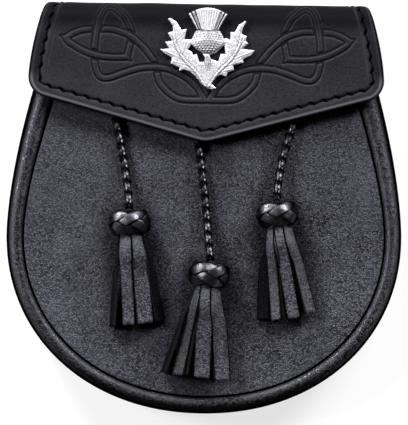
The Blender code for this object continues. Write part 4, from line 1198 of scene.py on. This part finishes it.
class SPORRAN_OT_flap(bpy.types.Operator):
    """The flap: two layers of leather with a stitched, burnished edge and tooled knotwork"""

    bl_idname = "sporran.flap"
    bl_label = "Flap"

    def execute(self, context):
        settings = context.scene.sporran_leather
        rows = flap_grid()
        count, columns = rows.shape[:2]
        flat = rows.reshape(-1, 2)
        relief, layers = self.relief(flat, settings)
        points = [on_flap(*flat.T, -relief)]
        faces = grid_faces(count, columns)
        ring = np.array([r * columns + c for r, c in border(count, columns)])
        edge = flat[ring]
        step = np.roll(edge, -1, 0) - np.roll(edge, 1, 0)
        out = unit(np.stack([step[:, 1], -step[:, 0]], 1))
        start = len(flat)
        for inward, depth in FLAP_EDGE:
            points.append(on_flap(*(edge - out * inward * MM).T, depth * MM))
            following = start + np.arange(len(ring))
            faces += [(a, c, d, b) for (a, b), (c, d) in zip(pairs(ring), pairs(following))]
            ring, start = following, start + len(ring)
        inner, inner_faces = self.lining(rows, ring, start)
        points = np.vstack([*points, inner])
        for name, level in (("wear", 0.0), ("cut", 9.0), ("seam", 9.0), ("black", 0.6)):
            layers[name] = np.concatenate([layers[name], np.full(len(points) - len(flat), level)])
        points[:, 2] = np.maximum(points[:, 2], 0)  # the tail lies flat under the pouch's weight
        flap = mesh_object("tooled_flap", points, faces + inner_faces, ["tooled"], **layers)
        dress(flap, "smooth_leather", "flap")
        self.stitches(settings)
        return {"FINISHED"}

    def lining(self, rows, ring, start):
        """The inner face, with every fourth row and column of the outer one, joined to the ring round it."""
        count, columns = rows.shape[:2]
        picked_rows = sorted({*range(0, count, 4), count - 1})
        picked_columns = sorted({*range(0, columns, 4), columns - 1})
        middle = np.array([0.0, FLAP_LENGTH * 0.5])
        grid = rows[np.ix_(picked_rows, picked_columns)] - middle
        grid = middle + grid * (1 - 1.1 * MM / np.maximum(np.abs(grid).max(axis=-1, keepdims=True), 30 * MM))
        points = on_flap(*grid.reshape(-1, 2).T, FLAP_WALL)
        r_count, c_count = grid.shape[:2]
        faces = grid_faces(r_count, c_count, start, flip=True)
        place = {spot: k for k, spot in enumerate(border(count, columns))}
        for (r, c), (s, d) in pairs(border(r_count, c_count)):
            i, j = place[picked_rows[r], picked_columns[c]], place[picked_rows[s], picked_columns[d]]
            dense = [ring[(i + k) % len(ring)] for k in range((j - i) % len(ring) + 1)]
            faces.append((*dense, start + s * c_count + d, start + r * c_count + c))
        return points, faces

    def relief(self, flat, settings):
        """Height of the outer face over its plain form, and the attributes that its finish reads."""
        x, v = flat.T
        away, _, _ = line_distance(flat, flap_edge(0.0, FLAP_LENGTH), 0.5 * MM)
        mm = np.minimum(away, np.maximum(FLAP_LENGTH - v, 0)) / MM  # how far in from the edge
        inset, round_off = settings.seam_inset / MM, FLAP_EDGE[0][1]
        short = np.clip(round_off - mm, 0, round_off)
        height = -(round_off - np.sqrt(round_off**2 - short**2)) * MM
        #  the thread pulls the leather down along its line, and the lip outside it stands up a little
        height -= 0.3 * MM * hump(mm, inset, 0.8)
        height += 0.14 * MM * hump(mm, 3.0, 1.3)
        #  the sides have a creased line inside the stitches, with a ridge beside it
        side = smooth_step((v - CORNER_V + 2 * MM) / (6 * MM)) * (np.abs(x) > 50 * MM)
        height -= 0.26 * MM * side * hump(mm, 8.4, 0.45)
        height += 0.2 * MM * side * hump(mm, 7.2, 0.7)
        holes, seam = self.seam(flat, mm, settings)
        height -= holes
        along, ys, _, turns = FLAP_TABLE
        seen_y = np.interp(v, along, ys + FLAP_WALL / 2 * np.sin(turns))
        tooled, cut = knotwork_relief(x, seen_y, settings.band_half_width, settings.band_depth)
        front = v < FLAP_LENGTHS[3] - 2 * MM
        height += np.where(front, tooled, 0)
        height += 0.25 * MM * ripple(x, v, 46 * MM) * smooth_step(mm / 6)
        # along the edge, the burnished lip's own grey with a painted highlight on it; on the sides a faint painted
        # highlight along the ridge beside the crease
        wear = (0.8 - 0.7 * side) * hump(mm, 1.6, 0.55) + 0.12 * side * hump(mm, 7.6, 0.35)
        #  painted shade: the flap is painted darker up towards its fold, the fold and the tail behind it nearly
        #  black, and the very edge black where it turns down; the sides outside the stitching are darker too
        fold = 0.22 * smooth_step((seen_y - 52 * MM) / (20 * MM)) + 0.6 * smooth_step((seen_y - 81 * MM) / (10 * MM))
        fold = np.where(v > FLAP_LENGTHS[2], 0.82, fold)
        edge = (0.8 + 0.15 * side) * smooth_step((1.1 + 0.5 * side - mm) / 0.7)
        black = np.maximum(np.maximum(fold, 0.5 * side * (mm < inset)), edge)
        return height, {"wear": np.clip(wear, 0, 1), "cut": np.where(front, cut, 9.0), "seam": seam, "black": black}

    def seam_steps(self, settings):
        """The stitched line, its length up to each point, and the pitch that fits it."""
        seam = flap_edge(settings.seam_inset, FLAP_LENGTHS[4])
        run = lengths(seam)
        return seam, run, run[-1] / round(run[-1] / settings.stitch_pitch)

    def seam(self, flat, mm, settings):
        """Depth of the dimples where the thread goes down, and the distance in millimetres from the marks painted
        dark along the stitches as painted shade: a slanting gap beside each thread and a slanting hole between two."""
        seam, _, pitch = self.seam_steps(settings)
        near = np.abs(mm - settings.seam_inset / MM) < 3.0
        away, along, _ = line_distance(flat[near], seam, 0.5 * MM)
        inward = np.where(mm[near] > settings.seam_inset / MM, away, -away) / MM
        #  in millimetres along the seam, from the middle of the nearest thread and of the nearest hole
        a = ((along / pitch + 0.5) % 1.0 - 0.5) * pitch / MM
        b = ((along / pitch) % 1.0 - 0.5) * pitch / MM
        half = pitch / MM / 2
        thread = np.hypot(np.maximum(np.abs(a) - half + 0.9, 0), inward - 0.13 * a) - 0.2
        u = b * math.cos(HOLE_SLANT) + inward * math.sin(HOLE_SLANT)
        w = inward * math.cos(HOLE_SLANT) - b * math.sin(HOLE_SLANT)
        hole = (np.hypot(u / 1.3, w / 0.5) - 1) * 0.5
        gap = np.full(len(flat), 9.0)
        gap[near] = np.minimum(thread, hole)
        depth = np.zeros(len(flat))
        depth[near] = 0.3 * MM * hump(u, 0, 1.2) * hump(w, 0, 0.6)
        return depth, gap

    def stitches(self, settings):
        seam, run, pitch = self.seam_steps(settings)
        flat = at_lengths(seam, run, np.arange(0, run[-1], pitch / 12))
        line = on_flap(*flat.T, 0.28 * MM)
        values = {
            "Pitch": pitch * 0.9999, "Stitch Length": 0.8 * pitch, "Thread Width": 0.62 * MM, "Slant": 0.13,
            "Thread": FINISHES["thread"],
        }
        dress(stitch_row("flap_stitches", [line], [face_outs(on_flap, flat)], values), "smooth_leather")


# --- The pouch

PANEL_REACH = 90.0 * MM  # about how far a panel's edge is from its middle


def panel_solid(name, inset, face, tone_and_painted_shade, steps=460):
    """A leather panel in rings round its middle, with a rounded edge. face gives a point's place for its x, y and
    depth under its outer face, and the last function how dark the leather is painted at x, y: its own tone, and
    painted shade."""
    rim = rim_points(np.linspace(-1, 1, steps), inset)
    outline = np.vstack([rim, np.linspace(rim[-1], rim[0], 72)[1:-1]])
    middle = np.array([0.0, 2.0 * MM])
    shares = 1 - np.array([0, 0.15, 0.4, 0.8, 1.4, 2.2, 3.2, 4.6, 6.4]) * MM / PANEL_REACH
    shares = np.concatenate([shares, np.linspace(shares[-1], 0.03, 46)[1:]])[::-1]
    soften = 0.45 * MM
    short = np.maximum(0.0, soften - (1 - shares) * PANEL_REACH)
    outer_depths = soften - np.sqrt(np.maximum(0.0, soften**2 - short**2))
    inner = shares[::4][::-1]
    inner = [1.0, 1.0 - 0.4 * MM / PANEL_REACH, *inner[inner < 0.98]]
    inner_depths = [PANEL_WALL - 0.5 * MM, *[PANEL_WALL] * (len(inner) - 1)]
    flat = np.vstack([middle, *[middle + (outline - middle) * share for share in (*shares, *inner)], middle])
    size = len(outline)
    depth = np.concatenate([[0.0], np.repeat([*outer_depths, *inner_depths], size), [PANEL_WALL]])
    last = len(flat) - 1
    faces = grid_faces((last - 1) // size, size, 1, wrap=True)
    faces += [(0, 1 + (i + 1) % size, 1 + i) for i in range(size)]
    faces += [(last, last - size + i, last - size + (i + 1) % size) for i in range(size)]
    black = np.maximum(smooth_step(depth / (0.35 * MM)), tone_and_painted_shade(*flat.T))
    return mesh_object(name, face(*flat.T, depth), faces, ["panel"], black=black)


class SPORRAN_OT_front(bpy.types.Operator):
    """The domed front panel of pebbled leather"""

    bl_idname = "sporran.front"
    bl_label = "Front panel"

    def execute(self, context):
        panel = panel_solid("front_leather", SEAM_INSET + SEAM_GAP, self.face, self.tone_and_painted_shade)
        dress(panel, "grained_leather", "front_panel")
        return {"FINISHED"}

    def face(self, x, y, depth):
        inside = (1 - rim_ratio(x, y, SEAM_INSET)) * BODY_HALF_WIDTH
        soft = 0.25 * MM * ripple(x, y, 52 * MM) * smooth_step(inside / (12 * MM))
        return np.stack([x, y, front_z(x, y) - depth + soft], axis=-1)

    def tone_and_painted_shade(self, x, y):
        #  painted shade: a painted shadow under the flap's edge, round each tassel and along each cord, and the panel
        #  painted a little darker towards the top
        edge = FLAP_TIP_Y + np.abs(x) * math.tan(FLAP_SLOPE)
        share = np.maximum(
            0.3 * smooth_step((y + 50 * MM) / (60 * MM)), 0.7 * smooth_step((y - edge) / (7 * MM) + 0.9)
        )
        for side in KNOTS:
            centre, down = tassel_frame(side)[:2]
            along = (x - centre[0]) * down[0] + (y - centre[1]) * down[1]
            aside = np.abs((x - centre[0]) * down[1] - (y - centre[1]) * down[0])
            reach = np.hypot(aside, along - np.clip(along, 2 * MM, 40 * MM))
            cord = 0.45 * smooth_step(1.6 - aside / (6 * MM)) * (along < 0)
            share = np.maximum(share, np.maximum(0.75 * smooth_step(1.6 - reach / (13 * MM)), cord))
        return share


class SPORRAN_OT_gusset(bpy.types.Operator):
    """The side wall, whose front edge is turned over in a soft roll along the seam"""

    bl_idname = "sporran.gusset"
    bl_label = "Gusset"

    def execute(self, context):
        section = [(*point, GUSSET_WALL * (base == "back")) for base, points in GUSSET_SECTION for point in points]
        section = smooth_curve(np.array(section) * MM, 140, closed=True)[0]
        section[:, 2] /= GUSSET_WALL * MM
        rings = [self.ring(along, section) for along in np.linspace(-1, 1, 441)]
        out, up, wall = (section / (MM, MM, 1)).T
        #  painted highlights lighten the roll along its crest and beside the seam, and at the bottom on its inner
        #  half instead; the rest is painted dark as painted shade, and its outer side, the seam's groove and the wall
        #  behind are painted darkest
        low = smooth_step((np.array([ring[0, 1] for ring in rings]) / MM + 30) / -50)[:, None]
        inner = (1 - 0.6 * low) * (hump(out, 1.6, 0.65) * (up > -1.5))[None, :]
        crest = (1 - 0.9 * low) * hump(out, 5.0, 0.9)[None, :]
        black = 1 - 0.38 * (1 - low) - 0.62 * np.maximum(inner, crest) - 0.5 * low * smooth_step((5.0 - out) / 2.4)
        seam = np.maximum(smooth_step((out - 5.4) / 1.4), smooth_step((0.0 - up) / 0.8) * (out < 1.0))
        black = np.maximum(np.clip(black, 0, 1), seam[None, :])
        black += (0.85 - black) * smooth_step(wall / 0.3)[None, :]
        gusset = mesh_object("gusset_leather", np.vstack(rings), tube(rings), ["roll"], black=black.ravel())
        dress(gusset, "grained_leather", "gusset")
        return {"FINISHED"}

    def ring(self, along, section):
        """The gusset's cross-section at this place along the seam, with a light pucker and sway."""
        out, up, share = section.T
        share = np.clip(share, 0, 1)
        x, y = rim_points(np.full(len(out), along), SEAM_INSET - out).T
        run = along * 240 * MM  # about how far from the middle of the bottom this is
        lift = hump(out, 2.2 * MM, 1.6 * MM) * (up > -1.5 * MM) * (share < 0.5)
        pucker = 0.05 * MM * lift * math.sin(ROUND * run / (6.4 * MM) + 2 * math.sin(run / (21 * MM)))
        swell = 0.3 * MM * ripple(run, 3 * MM, 60 * MM) * np.clip(out / (8 * MM), 0, 1)
        z = SEAM_Z * (1 - share) + (tail_lift(y) + PANEL_WALL) * share + up + pucker + swell * (1 - share)
        return np.stack([x, y, z], 1)


class SPORRAN_OT_back(bpy.types.Operator):
    """The back panel with its stitching, and the two belt loops"""

    bl_idname = "sporran.back"
    bl_label = "Back"

    def execute(self, context):
        panel = panel_solid("back_leather", BACK_INSET, back_face, lambda x, y: 0.3, 400)
        dress(panel, "grained_leather", "back_panel")
        seam = rim_points(np.linspace(-0.93, 0.93, 900), BACK_INSET + 4.5 * MM)
        line = back_face(*seam.T, 0.05 * MM)
        line[:, 2] = np.maximum(line[:, 2], 0.26 * MM)  # pressed in where the pouch rests on it
        values = {
            "Pitch": 5.0 * MM, "Stitch Length": 4.2 * MM, "Thread Width": 0.9 * MM, "Slant": 0.14,
            "Thread": FINISHES["thread"],
        }
        dress(stitch_row("back_stitches", [line], [-face_outs(back_face, seam)], values), "smooth_leather")
        values.update({"Pitch": 3.4 * MM, "Stitch Length": 2.9 * MM})
        for name, x in (("left", -LOOP_X), ("right", LOOP_X)):
            self.loop(name, x, values)
        return {"FINISHED"}

    def loop(self, name, x, values):
        course = smooth_curve(np.array(LOOP_COURSE) * MM, 90)[0]
        heading = unit(np.gradient(course, axis=0))
        across, through = rounded_box(LOOP_WIDTH, PANEL_WALL, 0.6 * MM, (0, 30, 60, 90)).T
        across = x + across - LOOP_WIDTH / 2
        rings = []
        for (y, z), (hy, hz) in zip(course, heading):
            rings.append(np.stack([across, y - hz * through, np.maximum(z + hy * through, 0)], 1))
        strap = mesh_object(f"belt_loop_strap_{name}", np.vstack(rings), tube(rings), ["tooled"])
        dress(strap, "smooth_leather", f"belt_loop_{name}")
        lines = []
        for low, high in ((3.2, 7.0), (49.0, 52.8)):
            box = np.array([(-8.2, low), (8.2, low), (8.2, high), (-8.2, high), (-8.2, low)]) * MM
            dense = np.vstack([np.linspace(a, b, 24) for a, b in zip(box, box[1:])])
            lines.append(np.column_stack([x + dense[:, 0], dense[:, 1], np.full(len(dense), 4.15 * MM)]))
        outs = [np.tile([0.0, 0.0, -1.0], (len(line), 1)) for line in lines]
        dress(stitch_row(f"belt_loop_stitches_{name}", lines, outs, values), "smooth_leather")


class SPORRAN_OT_fastener(bpy.types.Operator):
    """What the flap hides: the strip that holds the cords, and the snap stud"""

    bl_idname = "sporran.fastener"
    bl_label = "Fastener"

    def execute(self, context):
        across, up = rounded_box(STRIP_WIDTH, STRIP_THICK, 0.7 * MM, (0, 45, 90)).T
        rings = []
        for x in np.linspace(-1, 1, 81) * STRIP_HALF_LENGTH:
            y = STRIP_TIP_Y + abs(x) * math.tan(FLAP_SLOPE) + across
            x = np.full(len(y), x)
            rings.append(np.stack([x, y, front_z(x, y) + 0.35 * MM + up], 1))
        strip = mesh_object("cord_binding", np.vstack(rings), tube(rings), ["tooled"])
        dress(strip, "smooth_leather", "cord_strip")
        low, high = float(front_z(0.0, STUD_Y)) + 0.3 * MM, FLAP_TOP_Z - FLAP_WALL - 0.3 * MM
        angle = circle(40)
        rings = []
        for radius, share in STUD:
            x, y = radius * MM * np.cos(angle), STUD_Y + radius * MM * np.sin(angle)
            rings.append(np.stack([x, y, np.full(len(x), low + (high - low) * share)], 1))
        stud = mesh_object("snap_fastener", np.vstack(rings), tube(rings), ["metal"])
        dress(stud, "cast_metal", "snap_stud")
        return {"FINISHED"}


# --- The badge


def inside_polygon(points, polygon):
    inside = np.zeros(len(points), bool)
    x, y = points.T
    for (x1, y1), (x2, y2) in zip(polygon, np.roll(polygon, -1, 0)):
        crosses = (y1 > y) != (y2 > y)
        if y1 != y2:
            inside ^= crosses & (x < (x2 - x1) * (y - y1) / (y2 - y1) + x1)
    return inside


def closed_line(polygon, step):
    polygon = np.asarray(polygon, float)
    points = []
    for a, b in zip(polygon, np.roll(polygon, -1, 0)):
        count = max(1, round(np.linalg.norm(b - a) / step))
        points += [a + (b - a) * i / count for i in range(count)]
    return np.array(points)


def flower_outline():
    v = np.linspace(-1, 1, 41)
    (low_half, low_y), (high_half, high_y) = FLOWER_LOW, FLOWER_HIGH
    top = np.stack([high_half * v, high_y + FLOWER_ARCH * (1 - v**2)], 1)
    return np.vstack([top, np.stack([low_half * v[::-1], np.full(len(v), low_y)], 1)])


def bulb_outline():
    return np.vstack([smooth_curve(BULB, 90)[0], smooth_curve([BULB[-1], BULB[0]], 20)[0][1:-1]])


class SPORRAN_OT_badge(bpy.types.Operator):
    """The cast thistle: leaves with raised veins, a scaled bulb and a ribbed flower"""

    bl_idname = "sporran.badge"
    bl_label = "Badge"

    def execute(self, context):
        outlines = [np.array(line) for line in (LEAVES, *LEAF_GAPS)] + [bulb_outline(), flower_outline()]
        points, faces = self.sheet(outlines, context.scene.sporran_badge.grain / MM)
        height, hollow = self.relief(points, outlines)
        count = len(points)
        top = np.column_stack([BADGE_X + points[:, 0] * MM, BADGE_Y + points[:, 1] * MM, BADGE_BASE + height * MM])
        low = top.copy()
        low[:, 2] = BADGE_BASE
        edges = dict.fromkeys(edge for face in faces for edge in pairs(face))
        rim = [(b, a, count + a, count + b) for a, b in edges if (b, a) not in edges]
        back = [tuple(count + i for i in reversed(face)) for face in faces]
        badge = mesh_object(
            "cast_thistle", np.vstack([top, low]), faces + back + rim, ["metal"],
            hollow=np.concatenate([hollow, np.full(count, 0.6)]),
        )
        dress(badge, "cast_metal", "thistle_badge")
        return {"FINISHED"}

    def sheet(self, outlines, spacing):
        """Triangles inside the badge, with its outlines among their edges."""
        lines = [closed_line(o, spacing) for o in outlines]
        gx, gy = np.meshgrid(np.arange(-23, 23, spacing), np.arange(-20.5, 20, spacing * 0.866))
        gx[1::2] += spacing / 2
        grid = np.stack([gx.ravel(), gy.ravel()], 1)
        keep = self.covered(grid, outlines)
        for line in lines:
            keep &= outline_distance(grid, line) > 0.5 * spacing
        points = [Vector(p) for p in np.vstack([*lines, grid[keep]])]
        edges, start = [], 0
        for line in lines:
            edges += pairs(range(start, start + len(line)))
            start += len(line)
        made = delaunay_2d_cdt(points, edges, [], 0, 1e-5)
        points = np.array([tuple(p) for p in made[0]])
        faces = np.array([tuple(f) for f in made[2]])
        faces = faces[self.covered(points[faces].mean(axis=1), outlines)]
        used, faces = np.unique(faces, return_inverse=True)
        points, faces = points[used], faces.reshape(-1, 3)
        a, b, c = (points[faces[:, k]] for k in range(3))
        turned = ((b - a)[:, 0] * (c - a)[:, 1] - (b - a)[:, 1] * (c - a)[:, 0]) < 0
        faces[turned] = faces[turned][:, ::-1]
        return points, faces.tolist()

    def covered(self, points, outlines):
        leaves, left, right, bulb, flower = (inside_polygon(points, o) for o in outlines)
        return (leaves & ~left & ~right) | bulb | flower

    def relief(self, points, outlines):
        """Height over the badge's back in millimetres, and how hollow each place is."""
        x, y = points.T
        rim = np.minimum.reduce([outline_distance(points, closed_line(line, 0.3)) for line in outlines[:3]])
        side = np.abs(x)
        folded = np.stack([side, y], 1)
        rib = line_distance(folded, smooth_curve(MIDRIB, 40)[0])[0]
        vein = np.minimum.reduce([line_distance(folded, np.array(ends))[0] for ends in SIDE_VEINS])
        height = 1.5 + 0.25 * smooth_step(rim / 1.2) + 0.2 * hump(rib, 0, 0.4) + 0.08 * hump(vein, 0, 0.3)
        height -= 0.1 * hump(rib, 0.85, 0.35) + 0.05 * hump(vein, 0.6, 0.25) - 0.03 * ripple(x, y, 1.6)
        hollow = 0.02 + 0.4 * hump(rib, 0.75, 0.26) + 0.25 * hump(vein, 0.5, 0.22) + 0.14 * ripple(x, y, 1.1)
        hollow += 0.12 * np.cos(ROUND * ((0.5 * side - 0.86 * y) / 0.95 + 0.3 * ripple(side, y, 5)))
        for form in (self.stem, self.flower, self.bulb):
            height, hollow = form(x, y, height, hollow)
        return height, hollow

    def stem(self, x, y, height, hollow):
        inside = (np.abs(x - 0.1) < 1.7) & (y < -3.5) & (y > -11.5)
        level = 2.5 - 0.55 * (x / 1.7) ** 2 + 0.22 * np.cos(ROUND * x / 0.95)
        fade = smooth_step((y + 11.5) / 5)
        #  the stalk's fibres spread into the leaves below it
        spread = smooth_step((-4.5 - y) / 2.0) * smooth_step((y + 14.5) / 4.0)
        spread *= smooth_step((4.4 - np.abs(x - 0.1)) / 1.5)
        lines = 0.5 - 0.5 * np.cos(ROUND * (x + 0.08 * (y + 6) * np.sign(x)) / 0.95)
        hollow = np.where(inside, 0.5 * lines * fade, hollow)
        hollow += 0.32 * spread * lines * (1 - inside)
        return np.where(inside, height + (level - height) * fade, height), hollow

    def flower(self, x, y, height, hollow):
        (low_half, low_y), (high_half, high_y) = FLOWER_LOW, FLOWER_HIGH
        v = x / (low_half + (high_half - low_half) * (y - low_y) / (high_y - low_y))
        end = high_y + FLOWER_ARCH * (1 - v**2)
        inside = (np.abs(v) <= 1.0001) & (y >= low_y - 0.001) & (y <= end + 0.2)
        ribs = np.cos(ROUND * v * 7.5)
        level = 2.1 + 0.6 * (1 - v**2) + 0.12 * ribs
        dark = 0.3 * (0.5 - 0.5 * ribs)
        for at, deep, stain in FLOWER_CUTS:
            level -= deep * hump(v, at, 0.05)
            dark += stain * hump(v, at, 0.05)
        level -= 0.4 * (1 - smooth_step((end - y) / 0.8))
        return np.where(inside, level, height), np.where(inside, np.clip(dark, 0, 1), hollow)

    def bulb(self, x, y, height, hollow):
        points, line = np.stack([x, y], 1), bulb_outline()
        inside = (inside_polygon(points, line) | (outline_distance(points, line) < 0.01)) & (y < 8.6)
        near = np.full(len(points), 9.0)
        near[inside] = line_distance(points[inside], line[:90])[0]
        dome = 1.9 + 0.4 * smooth_step(near / 0.9) + 1.2 * smooth_step(near / 6.5)
        #  rows of scales, which lean towards the neck and are deepest near the stalk
        lean = 1 - 0.035 * (y - 3)
        row = (y + 0.12 * x**2 / 7) / 1.15
        shift = np.where(np.floor(row) % 2 == 0, 0.0, 0.5)
        bow = x / (1.35 * lean) + shift
        u, w = bow - np.floor(bow) - 0.5, row - np.floor(row)
        scale = np.clip(1 - np.hypot(u * 1.5, w - 0.15) + 0.25 * ripple(x, y, 1.7), 0, 1)
        low = smooth_step((3.4 - y) / 4.0)
        collar = hump(y, 8.5, 0.4)
        level = dome + (0.12 + 0.2 * low) * scale - 0.3 * collar
        dark = (0.4 + 0.6 * low) * (1 - smooth_step(scale / 0.6)) + 0.2 * smooth_step((y - 3.0) / 3.0)
        return np.where(inside, level, height), np.where(inside, np.clip(dark + 0.5 * collar, 0, 1), hollow)


# --- The add-on


class SPORRAN_PT_panel(bpy.types.Panel):
    """Lists the operators that build the sporran, in order"""

    bl_idname = "SPORRAN_PT_panel"
    bl_label = "Sporran"
    bl_space_type = "VIEW_3D"
    bl_region_type = "UI"
    bl_category = "Sporran"

    def draw(self, context):
        for operator in OPERATORS:
            self.layout.operator(operator.bl_idname)
        for key, group in GROUPS.items():
            for name in group.__annotations__:
                self.layout.prop(getattr(context.scene, key), name)


OPERATORS = (
    SPORRAN_OT_stage, SPORRAN_OT_cords, SPORRAN_OT_knots, SPORRAN_OT_fringes, SPORRAN_OT_flap,
    SPORRAN_OT_front, SPORRAN_OT_gusset, SPORRAN_OT_back, SPORRAN_OT_fastener, SPORRAN_OT_badge,
)
GROUPS = {
    "sporran_stage": SporranStage, "sporran_leather": SporranLeather,
    "sporran_tassels": SporranTassels, "sporran_badge": SporranBadge,
}


def register():
    for made in (*GROUPS.values(), *OPERATORS, SPORRAN_PT_panel):
        bpy.utils.register_class(made)
    for name, group in GROUPS.items():
        setattr(bpy.types.Scene, name, PointerProperty(type=group))


def unregister():
    for name in GROUPS:
        delattr(bpy.types.Scene, name)
    for made in reversed((*GROUPS.values(), *OPERATORS, SPORRAN_PT_panel)):
        bpy.utils.unregister_class(made)


def main():
    register()
    make_finishes(bpy.context.scene)
    bpy.ops.sporran.stage()
    bpy.ops.sporran.cords()
    bpy.ops.sporran.knots()
    bpy.ops.sporran.fringes()
    bpy.ops.sporran.flap()
    bpy.ops.sporran.front()
    bpy.ops.sporran.gusset()
    bpy.ops.sporran.back()
    bpy.ops.sporran.fastener()
    bpy.ops.sporran.badge()


if __name__ == "__main__":
    main()
